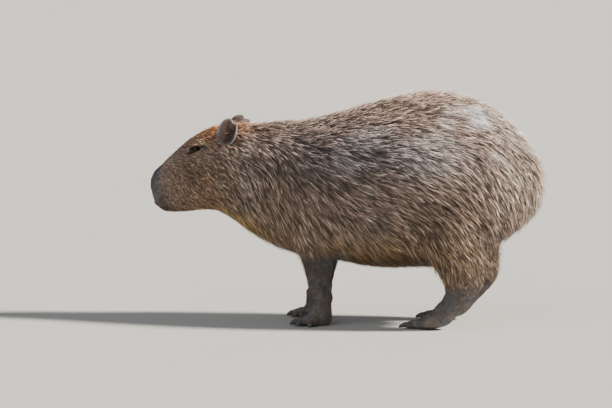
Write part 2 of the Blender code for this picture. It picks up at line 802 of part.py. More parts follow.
def make_hindfoot(side):
    """Hock, long sole and three toes with flat soles, and the three claws."""
    lift = HOCK_LIFT[side]
    path = (
        (0.3440, 0.150, 0.0500, 0.032),
        (0.3445, 0.124, 0.0500, 0.031),
        (0.3360, 0.096, 0.0400, 0.029),
        (0.3160, 0.067, 0.0305, 0.028),
        (0.2900, 0.038, 0.0300, 0.030),
        (0.2620, 0.022, 0.0270, 0.032),
        (0.2420, 0.014, 0.0210, 0.031),
    )
    points, widths, talls = [], [], []
    for x, z, tall, wide in path:
        points.append(Vector((x, side * HIND_LEG[-1][1], z + lift * min(1.0, z / 0.12))))
        widths.append(wide)
        talls.append(tall)
    foot = sweep("hindfoot", points, widths, talls, (-1, 0, 0.2), 16)
    toes, claws = [], []
    ball_of_foot = Vector((0.262, side * HIND_LEG[-1][1], 0.030))
    for turn, reach in HIND_TOES:
        start = ball_of_foot + Vector((0, side * turn * 0.0005, 0))
        heading = HIND_HEADING[side] + turn * 0.62
        toe, claw = toe_and_claw(side, start, heading, reach - HIND_CLAW, HIND_CLAW)
        toes.append(toe)
        claws.append(claw)
    combine(foot, "UNION", toes)
    point, normal = hock_plane(side, -GAP / 2)
    cut_plane(foot, point, normal)
    cut_plane(foot, (0, 0, 0), (0, 0, -1))
    keep_largest(foot)
    return foot, claws


def main():
    clear_scene()
    home = bpy.data.collections.new("capybara")
    bpy.context.scene.collection.children.link(home)
    body = whole_body()
    move_inward(body, CORE_SHARE)
    coat = make_coat(body)
    fewer_faces(body, CORE_TRIANGLES)
    finish_node(with_locks(make_torso(body), coat["torso"]), "torso", "coat", home)
    finish_node(with_locks(make_neck(body), coat["neck"]), "neck", "coat", home)
    head = finish_node(make_head(), "head", "face", home)
    for word, side in SIDES.items():
        finish_node(make_ear(side, head), f"ear_{word}", "ear", home)
        finish_node(make_eye(side), f"eye_{word}", "eye", home)
        finish_node(make_foreleg(body, side), f"foreleg_{word}", "bare_skin", home)
        finish_node(make_thigh(body, side), f"thigh_{word}", "coat", home)
        foot, claws = make_forefoot(side)
        finish_node(foot, f"forefoot_{word}", "bare_skin", home)
        for k, claw in enumerate(claws, 1):
            finish_node(claw, f"foreclaw_{word}_{k}", "claw", home)
        foot, claws = make_hindfoot(side)
        finish_node(foot, f"hindfoot_{word}", "bare_skin", home)
        for k, claw in enumerate(claws, 1):
            finish_node(claw, f"hindclaw_{word}_{k}", "claw", home)
    bpy.data.objects.remove(body)


main()
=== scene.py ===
import math

import bmesh
import bpy
import numpy as np
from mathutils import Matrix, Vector
from mathutils.bvhtree import BVHTree
from mathutils.kdtree import KDTree


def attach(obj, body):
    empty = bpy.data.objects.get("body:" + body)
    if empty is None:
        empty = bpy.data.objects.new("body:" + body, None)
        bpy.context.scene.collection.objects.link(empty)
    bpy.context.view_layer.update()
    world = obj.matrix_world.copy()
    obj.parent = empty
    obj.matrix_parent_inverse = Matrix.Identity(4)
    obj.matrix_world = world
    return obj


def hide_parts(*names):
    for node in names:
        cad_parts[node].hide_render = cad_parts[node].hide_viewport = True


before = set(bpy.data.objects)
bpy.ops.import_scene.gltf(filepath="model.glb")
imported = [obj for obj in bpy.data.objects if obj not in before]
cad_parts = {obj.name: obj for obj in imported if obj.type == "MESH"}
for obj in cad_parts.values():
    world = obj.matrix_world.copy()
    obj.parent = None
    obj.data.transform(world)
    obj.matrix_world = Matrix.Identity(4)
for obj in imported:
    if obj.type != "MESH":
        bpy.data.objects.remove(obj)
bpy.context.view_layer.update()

# The nose points to -X and the animal's left side is -Y, as in the solids
sides = {"left": -1, "right": 1}
seed = 20


def ease(value, low, high):
    t = np.clip((value - low) / (high - low), 0.0, 1.0)
    return t * t * (3 - 2 * t)


def power(value, exponent):
    return math.copysign(abs(value) ** exponent, value)


def smoothRows(rows, perStep):
    # rows on a Catmull-Rom curve through the given rows
    rows = np.array(rows)
    padded = np.vstack([2 * rows[0] - rows[1], rows, 2 * rows[-1] - rows[-2]])
    found = []
    for p0, p1, p2, p3 in zip(padded, padded[1:], padded[2:], padded[3:]):
        for k in range(perStep):
            t = k / perStep
            bend = (2 * p0 - 5 * p1 + 4 * p2 - p3) * t * t + (3 * p1 - p0 - 3 * p2 + p3) * t**3
            found.append(0.5 * (2 * p1 + (p2 - p0) * t + bend))
    found.append(rows[-1])
    return found


def addLoft(bm, rings):
    # a closed surface through rings of equal count
    loops = []
    for ring in rings:
        verts = bmesh.ops.create_circle(bm, segments=len(ring), radius=1.0)["verts"]
        for vert, point in zip(verts, ring):
            vert.co = point
        loops.append(verts)
    edges = [[bm.edges.get((loop[k - 1], loop[k])) for k in range(len(loop))] for loop in loops]
    faces = []
    for low, high in zip(edges, edges[1:]):
        faces += bmesh.ops.bridge_loops(bm, edges=low + high)["faces"]
    for loop in (loops[0], loops[-1]):
        faces.append(bm.faces.new(loop))
    bmesh.ops.recalc_face_normals(bm, faces=faces)


def newPiece(name, bm, smooth=True):
    mesh = bpy.data.meshes.new(name)
    bm.to_mesh(mesh)
    bm.free()
    piece = bpy.data.objects.new(name, mesh)
    bpy.context.scene.collection.objects.link(piece)
    if smooth:
        mesh.shade_smooth()
    return piece


def applied(piece):
    graph = bpy.context.evaluated_depsgraph_get()
    mesh = bpy.data.meshes.new_from_object(piece.evaluated_get(graph))
    piece.modifiers.clear()
    piece.data = mesh


# Trunk over the coat: place along X, top, widest line, underside, half width, squareness
trunk = {
    "rows": (
        (0.541, 0.408, 0.385, 0.360, 0.016, 2.0), (0.535, 0.440, 0.385, 0.330, 0.046, 2.0),
        (0.513, 0.476, 0.380, 0.298, 0.085, 2.0), (0.472, 0.528, 0.375, 0.262, 0.122, 2.0),
        (0.415, 0.578, 0.365, 0.222, 0.150, 2.1), (0.345, 0.614, 0.355, 0.178, 0.168, 2.1),
        (0.270, 0.630, 0.345, 0.160, 0.176, 2.1), (0.190, 0.627, 0.338, 0.153, 0.177, 2.1),
        (0.110, 0.609, 0.332, 0.150, 0.172, 2.1), (0.030, 0.586, 0.330, 0.158, 0.162, 2.1),
        (-0.045, 0.565, 0.332, 0.171, 0.150, 2.1), (-0.120, 0.549, 0.338, 0.181, 0.136, 2.1),
        (-0.195, 0.543, 0.350, 0.204, 0.118, 2.1), (-0.255, 0.534, 0.368, 0.234, 0.102, 2.1),
        (-0.305, 0.532, 0.386, 0.270, 0.091, 2.15), (-0.350, 0.526, 0.388, 0.294, 0.081, 2.25),
        (-0.395, 0.508, 0.378, 0.296, 0.069, 2.4), (-0.435, 0.484, 0.368, 0.290, 0.060, 2.5),
        (-0.472, 0.451, 0.360, 0.287, 0.053, 2.6), (-0.500, 0.425, 0.356, 0.289, 0.048, 2.6),
        (-0.518, 0.409, 0.356, 0.304, 0.043, 2.5), (-0.530, 0.396, 0.360, 0.324, 0.035, 2.3),
        (-0.536, 0.384, 0.364, 0.345, 0.022, 2.1),
    ),
    "centre": 0.0025,
    "points": 48,
    "perStep": 3,
}
# The rows' own X lies this far behind the finished one
toRows = np.array((trunk["centre"], 0, 0))

# Legs: place along X, outward place, height, half size along X, half size across
legs = {
    "fore": (
        (-0.085, 0.070, 0.360, 0.060, 0.050), (-0.080, 0.082, 0.285, 0.058, 0.050),
        (-0.068, 0.089, 0.225, 0.050, 0.044), (-0.060, 0.088, 0.180, 0.041, 0.038),
        (-0.055, 0.086, 0.140, 0.035, 0.034), (-0.051, 0.084, 0.100, 0.031, 0.031),
        (-0.049, 0.083, 0.060, 0.030, 0.031), (-0.049, 0.083, 0.030, 0.029, 0.030),
    ),
    "hind": (
        (0.300, 0.090, 0.400, 0.110, 0.070), (0.305, 0.102, 0.320, 0.104, 0.068),
        (0.312, 0.110, 0.255, 0.090, 0.060), (0.322, 0.112, 0.205, 0.077, 0.050),
        (0.333, 0.112, 0.165, 0.063, 0.041), (0.345, 0.111, 0.132, 0.053, 0.034),
        (0.346, 0.110, 0.105, 0.047, 0.031), (0.340, 0.110, 0.085, 0.040, 0.029),
    ),
    "shift": {-1: 0.0, 1: -0.047},
    "lift": {-1: 0.0, 1: 0.008},
    "points": 28,
}
feet = {
    "palm": ((0.075, 0.030, 0.031), (0.052, 0.030, 0.031), (0.036, 0.031, 0.032),
             (0.020, 0.032, 0.033), (0.006, 0.028, 0.029), (0.000, 0.025, 0.026)),
    "sole": ((0.3440, 0.150, 0.0500, 0.032), (0.3445, 0.124, 0.0500, 0.031), (0.3360, 0.096, 0.0400, 0.029),
             (0.3160, 0.067, 0.0305, 0.028), (0.2900, 0.038, 0.0300, 0.030), (0.2620, 0.022, 0.0220, 0.032),
             (0.2420, 0.014, 0.0140, 0.031)),
    "foreToes": ((-38.0, 0.058), (-12.0, 0.068), (14.0, 0.067), (42.0, 0.056)),
    "foreTurn": {-1: 34.0, 1: 4.0},
    "hindToes": ((-20.0, 0.074), (0.0, 0.090), (21.0, 0.072)),
    "hindTurn": {-1: 0.0, 1: -2.0},
    "palmHeight": 0.030,
    "foreClaw": 0.015,
    "hindClaw": 0.019,
}
eyes = {
    "place": (-0.4020, 0.0450, 0.4590),
    "facing": (-0.250, 0.950, 0.180),
    "radius": 0.0155,
    "halfLength": 0.0205,
    "halfHeight": 0.0086,
    "upper": 0.85,
    "rise": 24.0,
    "lid": 0.0020,
}
ears = {
    "place": (-0.311, 0.070, 0.5135),
    "facing": (-0.34, 0.90, 0.26),
    "halfWidth": 0.0305,
    "halfHeight": 0.0360,
    "depth": 0.020,
    "wall": 0.0030,
}
muzzle = {
    "nostril": (-0.5325, 0.0285, 0.3640),
    "corner": (-0.464, 0.3000),
    "front": (-0.5225, 0.3110),
}


def trunkRing(row):
    x, top, wide, bottom, half, square = row
    ring = []
    for k in range(trunk["points"]):
        angle = 2 * math.pi * (k + 0.5) / trunk["points"]
        side, rise = power(math.cos(angle), 2 / square), power(math.sin(angle), 2 / square)
        reach = top - wide if rise > 0 else wide - bottom
        ring.append(Vector((x, half * side, wide + reach * rise)))
    return ring


def legRings(kind, side):
    rings = []
    for x, out, z, along, across in smoothRows(legs[kind], 3):
        if kind == "fore":
            movedX, movedZ = legs["shift"][side] * min(1.0, (0.360 - z) / 0.310) ** 2, 0.0
        else:
            movedX, movedZ = 0.0, legs["lift"][side] * min(1.0, (0.400 - z) / 0.280)
        ring = []
        for k in range(legs["points"]):
            angle = 2 * math.pi * k / legs["points"]
            # the shank is a little narrower behind than in front
            narrow = 1 - 0.14 * max(0.0, math.cos(angle)) * float(ease(z, 0.26, 0.14))
            outward = side * (out + across * narrow * math.sin(angle))
            ring.append(Vector((x + movedX + along * math.cos(angle), outward, z + movedZ)))
        rings.append(ring)
    return rings


def rodRings(start, heading, side, table, points):
    # upright sections along a level heading: distance, height, half width, half height
    turn = math.radians(heading)
    ahead = Vector((-math.cos(turn), side * math.sin(turn), 0))
    across = Vector((-ahead.y, ahead.x, 0))
    rings = []
    for distance, height, wide, tall in smoothRows(table, 3):
        middle = Vector((start[0], start[1], height)) + ahead * distance
        ring = []
        for k in range(points):
            angle = 2 * math.pi * (k + 0.5) / points
            ring.append(middle + across * wide * math.cos(angle) + Vector((0, 0, tall * math.sin(angle))))
        rings.append(ring)
    return rings


def toeRings(start, heading, side, reach):
    return rodRings(start, heading, side, (
        (reach * 0.05, feet["palmHeight"] * 0.65, 0.0135, 0.0190),
        (reach * 0.38, 0.0150, 0.0132, 0.0160),
        (reach * 0.60, 0.0132, 0.0112, 0.0132),
        (reach * 0.78, 0.0122, 0.0122, 0.0122),
        (reach * 0.94, 0.0105, 0.0108, 0.0105),
        (reach + 0.001, 0.0095, 0.0070, 0.0080),
    ), 16)


def clawRings(start, heading, side, reach, length):
    return rodRings(start, heading, side, (
        (reach - 0.004, 0.0108, 0.0074, 0.0066),
        (reach + length * 0.10, 0.0107, 0.0080, 0.0074),
        (reach + length * 0.45, 0.0094, 0.0075, 0.0062),
        (reach + length * 0.80, 0.0070, 0.0062, 0.0046),
        (reach + length * 0.96, 0.0052, 0.0042, 0.0028),
        (reach + length, 0.0046, 0.0026, 0.0016),
    ), 14)


def toesOf(kind, side):
    # start, heading and reach of every toe of one foot
    found = []
    if kind == "fore":
        start = (legs["fore"][-1][0] + legs["shift"][side], side * legs["fore"][-1][1])
        for turn, reach in feet["foreToes"]:
            found.append((start, feet["foreTurn"][side] + turn, reach))
    else:
        for turn, reach in feet["hindToes"]:
            start = (0.262, side * legs["hind"][-1][1] + turn * 0.0005)
            found.append((start, feet["hindTurn"][side] + turn * 0.62, reach - feet["hindClaw"]))
    return found


def sweepRings(path, side, lift, points):
    # the hind foot's rings, upright to its bent path
    places = [Vector((x, side * legs["hind"][-1][1], z + lift * min(1.0, z / 0.12))) for x, z, _, _ in path]
    rings = []
    for k, place in enumerate(places):
        ahead = places[min(k + 1, len(places) - 1)] - places[max(k - 1, 0)]
        across = ahead.cross(Vector((-1, 0, 0.2))).normalized()
        over = across.cross(ahead).normalized()
        ring = []
        for s in range(points):
            angle = 2 * math.pi * s / points
            ring.append(place + across * path[k][3] * math.cos(angle) + over * path[k][2] * math.sin(angle))
        rings.append(ring)
    return rings


def eyeFrame(side):
    facing = Vector((eyes["facing"][0], side * eyes["facing"][1], eyes["facing"][2])).normalized()
    rise = math.radians(eyes["rise"])
    along = Vector((math.cos(rise), 0, math.sin(rise)))
    along = (along - facing * along.dot(facing)).normalized()
    across = facing.cross(along) * side
    place = eyes["place"]
    return Vector((place[0], side * place[1], place[2])), facing, along, across


def sideOfTrunk(x, z):
    rows = np.array(smoothRows(trunk["rows"], 4))[::-1]
    _, top, wide, bottom, half, square = (np.interp(x, rows[:, 0], rows[:, c]) for c in range(6))
    reach = top - wide if z > wide else wide - bottom
    return half * (1 - min(1.0, abs(z - wide) / reach) ** square) ** (1 / square)


def mouthLine(raised, inward, steps=14):
    # points along the mouth from one corner round the front to the other
    (cornerX, cornerZ), (frontX, frontZ) = muzzle["corner"], muzzle["front"]
    half = []
    for k in range(steps):
        t = k / steps
        x = cornerX + (frontX - cornerX) * (1 - (1 - t) ** 1.6)
        z = cornerZ + (frontZ - cornerZ) * t * t + raised
        half.append(Vector((x, max(0.0, sideOfTrunk(x, z) - inward), z)))
    front = Vector((frontX + inward, 0, frontZ + raised))
    return [Vector((p.x, -p.y, p.z)) for p in half] + [front] + half[::-1]


# Skin: lofts fused by a voxel remesh, finer on the head and feet
skinSizes = {
    "voxel": 0.0057,
    "smoothing": 8,
    "along": ((-0.560, 0.0004), (-0.500, 0.0012), (-0.400, 0.0022), (-0.300, 0.0050), (-0.240, 0.0090),
              (-0.150, 0.0120), (0.500, 0.0120)),
    "belly": 0.0080,
    "lipRadius": 0.0070,
    "leg": ((0.070, 0.0004), (0.110, 0.0008), (0.160, 0.0025), (0.230, 0.0070), (0.300, 0.0120)),
}


def coatDepth(points, normals):
    # how far the skin lies inside the solids
    under = np.maximum(0.0, -normals[:, 2]) ** 2 * (points[:, 2] > 0.14)
    along = np.interp(points[:, 0], *zip(*skinSizes["along"]))
    deep = np.minimum(along, np.interp(points[:, 2], *zip(*skinSizes["leg"])))
    belly = np.minimum(along, skinSizes["belly"])
    return deep + (belly - deep) * under


def buildSkin():
    bm = bmesh.new()
    addLoft(bm, [trunkRing(row) for row in smoothRows(trunk["rows"], trunk["perStep"])])
    lip = mouthLine(0.0065, 0.0045)
    rings = []
    for k, place in enumerate(lip):
        ahead = (lip[min(k + 1, len(lip) - 1)] - lip[max(k - 1, 0)]).normalized()
        across = ahead.cross(Vector((0, 0, 1))).normalized()
        radius = skinSizes["lipRadius"] * (0.35 if k in (0, len(lip) - 1) else 1.0)
        over = across.cross(ahead)
        rings.append([place + (across * math.cos(a) + over * math.sin(a)) * radius
                      for a in np.linspace(0, 2 * math.pi, 12, endpoint=False)])
    addLoft(bm, rings)
    for side in sides.values():
        for kind in ("fore", "hind"):
            addLoft(bm, legRings(kind, side))
            for start, heading, reach in toesOf(kind, side):
                addLoft(bm, toeRings(start, heading, side, reach))
        x, y = legs["fore"][-1][0] + legs["shift"][side], side * legs["fore"][-1][1]
        addLoft(bm, [[Vector((x + along * math.cos(a), y + across * math.sin(a), z))
                      for a in np.linspace(0, 2 * math.pi, 24, endpoint=False)]
                     for z, along, across in feet["palm"]])
        path = smoothRows(feet["sole"], 3)
        addLoft(bm, sweepRings(path, side, legs["lift"][side], 24))
    piece = newPiece("skin", bm)
    remesh = piece.modifiers.new("Remesh", "REMESH")
    remesh.mode = "VOXEL"
    remesh.voxel_size = skinSizes["voxel"]
    applied(piece)
    group = piece.vertex_groups.new(name="smooth")
    for vert in piece.data.vertices:
        foot = float(ease(vert.co.z, 0.05, 0.09))
        nose = float(ease(vert.co.x, -0.52, -0.44))
        group.add([vert.index], 0.25 + 0.75 * min(foot, 0.3 + 0.7 * nose), "REPLACE")
    smooth = piece.modifiers.new("Smooth", "SMOOTH")
    smooth.factor = 0.5
    smooth.iterations = skinSizes["smoothing"]
    smooth.vertex_group = "smooth"
    applied(piece)
    piece.vertex_groups.clear()
    return piece


def splitNear(bm, wanted):
    edges = {edge for face in bm.faces if wanted(face.calc_center_median()) for edge in face.edges}
    bmesh.ops.subdivide_edges(bm, edges=list(edges), cuts=1, use_grid_fill=True)


def almond(points, side, grow):
    # share of the way out to the edge of the eye's slit, below one inside it
    centre, facing, along, across = (np.array(v) for v in eyeFrame(side))
    rel = points - centre
    a = rel @ along / (eyes["halfLength"] * grow)
    c = rel @ across / (eyes["halfHeight"] * grow)
    near = (np.linalg.norm(rel, axis=1) < 0.030) & (rel @ facing > -0.004)
    c = np.where(c > 0, c / eyes["upper"], c)
    reach = np.sqrt(np.maximum(0.0, 1 - a * a)) ** 1.4
    inside = np.where(np.abs(a) < 1, np.abs(c) / np.maximum(reach, 1e-3), 9.0)
    return np.where(near, inside, 9.0)


def gauss(points, centre, size):
    return np.exp(-(((points - np.array(centre)) / np.array(size)) ** 2).sum(1))


def bothSides(points, centre, size):
    mirrored = points.copy()
    mirrored[:, 1] = np.abs(points[:, 1])
    return gauss(mirrored, centre, size)


def distanceTo(points, line):
    line = np.array([tuple(p) for p in line])
    best = np.full(len(points), 1.0)
    for a, b in zip(line, line[1:]):
        ab = b - a
        t = np.clip(((points - a) @ ab) / (ab @ ab), 0, 1)
        best = np.minimum(best, np.linalg.norm(points - (a + t[:, None] * ab), axis=1))
    return best


def meshArrays(mesh):
    points = np.zeros(len(mesh.vertices) * 3, np.float32)
    normals = np.zeros(len(mesh.vertices) * 3, np.float32)
    mesh.vertices.foreach_get("co", points)
    mesh.vertex_normals.foreach_get("vector", normals)
    return points.reshape(-1, 3).astype(float), normals.reshape(-1, 3).astype(float)


# Relief of the skin: height, middle and size of each form on both sides, and the lines of the face
relief = {
    "forms": (
        (0.0045, (-0.362, 0.080, 0.365), (0.050, 0.05, 0.050)),  # cheek
        (-0.0040, (-0.452, 0.056, 0.400), (0.028, 0.05, 0.030)),  # hollow before it
        (0.0030, (-0.400, 0.036, 0.487), (0.030, 0.02, 0.012)),  # brow
        (-0.0030, (-0.355, 0.068, 0.468), (0.022, 0.03, 0.020)),  # temple
        (0.0060, (-0.110, 0.130, 0.320), (0.070, 0.09, 0.090)),  # shoulder
        (-0.0060, (0.010, 0.150, 0.300), (0.040, 0.10, 0.080)),  # behind the shoulder
        (-0.0050, (0.215, 0.150, 0.250), (0.035, 0.10, 0.060)),  # before the thigh
    ),
    # each with its rise or depth first, then its place or widths
    "wristPad": (0.0055, (-0.022, 0.084, 0.076), (0.014, 0.012, 0.012)),
    "nostril": (0.0090, 0.0044, 0.0072),
    "wing": (0.0016, 0.0090, 0.0125),
    "cleft": (0.0042, 0.0026),
    "mouth": (0.0042, 0.0026),
    "lip": (0.0012, 0.007, 0.004),
    "wrinkle": (0.0005, 300),
    "fold": (0.0026, 0.0150, 0.0026),
    "underFold": (0.0016, 0.0145, 0.0030),
    "foldBend": 18,
    "blend": 0.0035,
}


def refine(piece):
    # more faces on the head and feet, and most round the eyes, nose and mouth
    bm = bmesh.new()
    bm.from_mesh(piece.data)
    splitNear(bm, lambda p: p.x < -0.335 or p.z < 0.050)
    centres = [eyeFrame(side)[0] for side in sides.values()]
    mouth = [Vector(p) for p in mouthLine(0.0, 0.0)]
    splitNear(bm, lambda p: min((p - c).length for c in centres) < 0.030
              or (p.x < -0.505 and p.z > 0.33)
              or (p.x < -0.450 and p.z < 0.325 and min((p - m).length for m in mouth) < 0.010))
    bm.to_mesh(piece.data)
    bm.free()


def noseRelief(points):
    # nostrils with a raised wing and the cleft under them
    depth, wide, high = relief["nostril"]
    nostril = np.array(muzzle["nostril"])
    rel = np.abs(points[:, 1]) - nostril[1]
    up = points[:, 2] - nostril[2]
    front = (points[:, 0] < -0.50) & (up > -0.03)
    lean = rel * 0.85 + up * 0.35
    tall = up * 0.90 - rel * 0.35
    move = front * -depth * np.exp(-((lean / wide) ** 2) - (tall / high) ** 2)
    raised, wingWide, wingTall = relief["wing"]
    ring = np.sqrt((lean / wingWide) ** 2 + (tall / wingTall) ** 2)
    move += front * raised * np.exp(-((ring - 1) / 0.35) ** 2)
    depth, wide = relief["cleft"]
    cleft = (points[:, 0] < -0.49) * ease(points[:, 2], 0.300, 0.312) * ease(points[:, 2], 0.356, 0.340)
    return move - cleft * depth * np.exp(-((points[:, 1] / wide) ** 2))


def mouthRelief(points):
    # the line of the mouth under full lips
    gap = distanceTo(points, mouthLine(0.0, 0.0))
    depth, wide = relief["mouth"]
    raised, away, spread = relief["lip"]
    lip = raised * np.exp(-(((gap - away) / spread) ** 2)) * (points[:, 0] < -0.47)
    return lip - depth * np.exp(-((gap / wide) ** 2))


def legRelief(points):
    # creases over the wrists, and the small pad behind each
    height, each = relief["wrinkle"]
    shank = ease(points[:, 2], 0.16, 0.10) * ease(points[:, 2], 0.045, 0.070)
    move = height * np.sin(points[:, 2] * each) * shank
    height, (x, y, z), size = relief["wristPad"]
    for side in sides.values():
        move += height * gauss(points, (x + legs["shift"][side] * 0.9, side * y, z), size)
    return move


def openEye(points, side):
    # lids: the skin covers the ball but for the slit, and a fold lies over and under them
    centre, facing, along, across = (np.array(v) for v in eyeFrame(side))
    rel = points - centre
    out = rel @ facing
    flat = rel - out[:, None] * facing
    spread = np.linalg.norm(flat, axis=1)
    near = (spread < 0.040) & (out > -0.012) & (out < 0.040)
    dome = np.sqrt(np.maximum(0.0, (eyes["radius"] + eyes["lid"]) ** 2 - spread**2))
    blend = relief["blend"]
    raised = blend * np.logaddexp(out / blend, dome / blend)
    raised = np.where(spread > eyes["radius"] + 0.006, out, raised)
    share = ease(spread, eyes["radius"] + 0.006, eyes["radius"] + 0.002)
    target = out + (np.maximum(raised, out) - out) * share
    height = rel @ across
    a = rel @ along
    bend = a * a * relief["foldBend"]
    depth, above, wide = relief["fold"]
    target = target - depth * np.exp(-(((height - above + bend) / wide) ** 2)) * ease(np.abs(a), 0.024, 0.012)
    depth, below, wide = relief["underFold"]
    target = target - depth * np.exp(-(((height + below - bend) / wide) ** 2)) * ease(np.abs(a), 0.022, 0.010)
    target = np.where(almond(points, side, 1.10) < 1.0, eyes["radius"] * 0.35, target)
    return np.where(near[:, None], points + (target - out)[:, None] * facing, points)


def shapeSkin(piece):
    # moves the skin in by the coat's depth and models the body, face and legs on it
    refine(piece)
    points, normals = meshArrays(piece.data)
    move = -coatDepth(points, normals)
    for height, middle, size in relief["forms"]:
        move += height * bothSides(points, middle, size)
    move += noseRelief(points) + mouthRelief(points) + legRelief(points)
    points += normals * move[:, None]
    for side in sides.values():
        points = openEye(points, side)
    points[:, 2] = np.maximum(points[:, 2], 0.0004)
    points -= toRows
    piece.data.vertices.foreach_set("co", points.astype(np.float32).ravel())
    piece.data.update()


# Colours of the hair's tips by region: colour, middle and size of the region, strength; some regions are
# painted sunlight rather than the hair's own colour
markings = {
    "body": (0.400, 0.290, 0.235),
    "regions": (
        ((0.210, 0.175, 0.185), (0.02, 0, 0.470), (0.28, 9, 0.060), 0.90),
        ((0.370, 0.235, 0.120), (0.080, 0, 0.215), (0.26, 9, 0.055), 0.90),
        ((0.290, 0.195, 0.115), (0.300, 0, 0.220), (0.12, 9, 0.130), 0.90),
        # the next three are painted sunlight, not the coat's colour: the back of the rump, the top of the
        # back and the top of the rump made pale
        ((0.850, 0.640, 0.500), (0.560, 0, 0.430), (0.105, 9, 0.170), 0.95),
        ((0.850, 0.560, 0.450), (0.150, 0, 0.668), (0.500, 9, 0.060), 0.90),
        ((0.800, 0.620, 0.540), (0.430, 0, 0.520), (0.085, 9, 0.080), 0.65),
        ((0.310, 0.220, 0.155), (-0.180, 0, 0.330), (0.080, 9, 0.120), 0.60),
        ((0.470, 0.400, 0.370), (-0.262, 0, 0.400), (0.030, 9, 0.080), 0.45),
        ((0.350, 0.215, 0.130), (-0.390, 0, 0.360), (0.095, 9, 0.090), 0.95),
        ((0.520, 0.320, 0.080), (-0.350, 0, 0.275), (0.120, 9, 0.034), 0.95),
        # the next two are the head's own reddish colour, made brighter and more orange by painted sunlight on
        # the top of the head
        ((0.500, 0.200, 0.060), (-0.395, 0, 0.525), (0.090, 9, 0.040), 0.97),
        ((0.620, 0.270, 0.090), (-0.330, 0, 0.550), (0.060, 9, 0.034), 0.95),
        ((0.560, 0.390, 0.230), (-0.395, 0, 0.484), (0.026, 9, 0.007), 0.75),
        ((0.190, 0.120, 0.075), (-0.430, 0, 0.400), (0.040, 9, 0.034), 0.55),
        ((0.180, 0.135, 0.105), (-0.505, 0, 0.325), (0.034, 9, 0.034), 0.80),
        ((0.110, 0.085, 0.070), (-0.500, 0, 0.297), (0.030, 9, 0.014), 0.80),
    ),
    "slate": (0.050, 0.053, 0.066),
    "shank": (0.118, 0.114, 0.120),
    # colour of the painted sheen
    "pale": (0.950, 0.950, 1.000),
    # painted shade: the dark colour of the underside
    "belly": (0.100, 0.058, 0.024),
    "shankBrown": (0.150, 0.110, 0.080),
    "eyeLineShade": (0.015, 0.011, 0.010),
    "slit": (0.012, 0.009, 0.008),
    "noseMiddle": (-0.548, 0, 0.370),
    "noseSize": (0.060, 0.070, 0.080),
    # painted sheen: pale bluish highlights on the top of the rump and fainter ones on the flank, on the left
    # side only
    "sheenPatches": (
        ((0.351, -0.090, 0.572), (0.027, 0.06, 0.020), 1.0),
        ((0.330, -0.080, 0.590), (0.022, 0.06, 0.012), 0.8),
        ((0.266, -0.110, 0.560), (0.011, 0.06, 0.026), 0.8),
        ((0.300, -0.085, 0.590), (0.030, 0.06, 0.012), 0.5),
        ((0.060, -0.140, 0.510), (0.045, 0.08, 0.026), 0.30),
        ((0.000, -0.140, 0.450), (0.040, 0.08, 0.030), 0.22),
        ((0.230, -0.150, 0.480), (0.080, 0.08, 0.050), 0.26),
    ),
}


def waves(points, length, number):
    # smooth noise from -1 to 1, with bumps about this long
    rng = np.random.default_rng(number)
    total = np.zeros(len(points))
    for _ in range(7):
        way = rng.normal(size=3)
        way *= 2 * math.pi / (length * 2.2) / np.linalg.norm(way) * rng.uniform(0.6, 1.5)
        total += np.sin(points @ way + rng.uniform(0, 6.28))
    return np.clip(total / 3.2, -1, 1)


def noseShare(points):
    reach = (points - np.array(markings["noseMiddle"])) / np.array(markings["noseSize"])
    reach = np.linalg.norm(reach, axis=1) + 0.10 * waves(points, 0.010, 5) + 0.14 * waves(points, 0.0035, 4)
    return ease(reach, 1.22, 0.78) * ease(points[:, 2], 0.300, 0.318)


# Bare shanks: the heights between which the hair ends, and the legs' middles along X
shanks = {
    "hindFrom": 0.15,
    "high": {"fore": 0.245, "hind": 0.142},
    "low": {"fore": 0.185, "hind": 0.098},
    "middle": {"fore": -0.058, "hind": 0.330},
    "rightForeShift": -0.045,
}


def shankShare(points):
    rear = points[:, 0] > shanks["hindFrom"]
    high = np.where(rear, shanks["high"]["hind"], shanks["high"]["fore"])
    low = np.where(rear, shanks["low"]["hind"], shanks["low"]["fore"])
    fore = shanks["middle"]["fore"] + shanks["rightForeShift"] * (points[:, 1] > 0)
    axis = np.where(rear, shanks["middle"]["hind"], fore)
    near = np.abs(points[:, 0] - axis) + 0.6 * np.maximum(0, 0.06 - np.abs(points[:, 1]))
    leg = ease(near, 0.078, 0.060) * (points[:, 2] < 0.30) + (points[:, 2] < 0.12)
    return ease(points[:, 2] + 0.010 * waves(points, 0.03, 6), high, low) * np.clip(leg, 0, 1)


def mixed(colour, target, share):
    return colour + (np.array(target) - colour) * share[:, None]


def eyeStreak(points):
    # dark lines before and behind each eye: the dark eye-line, with painted shade in its corners
    streak = np.zeros(len(points))
    for side in sides.values():
        centre, facing, along, across = (np.array(v) for v in eyeFrame(side))
        rel = points + toRows - centre
        a, c = np.abs(rel @ along), rel @ across
        near = (np.linalg.norm(rel, axis=1) < 0.036) & (rel @ facing > -0.010)
        line = ease(a, 0.010, 0.016) * ease(a, 0.032, 0.026) * np.exp(-((c / 0.0042) ** 2))
        streak = np.maximum(streak, near * line)
    return streak


def paintedSheenShare(points):
    # share of the painted sheen at each point, broken up by a noise
    share = np.zeros(len(points))
    broken = 0.68 + 0.32 * waves(points, 0.010, 7)
    for centre, size, strength in markings["sheenPatches"]:
        share = np.maximum(share, np.clip(gauss(points, centre, size) * 2.1, 0, 1) * strength * broken)
    return share


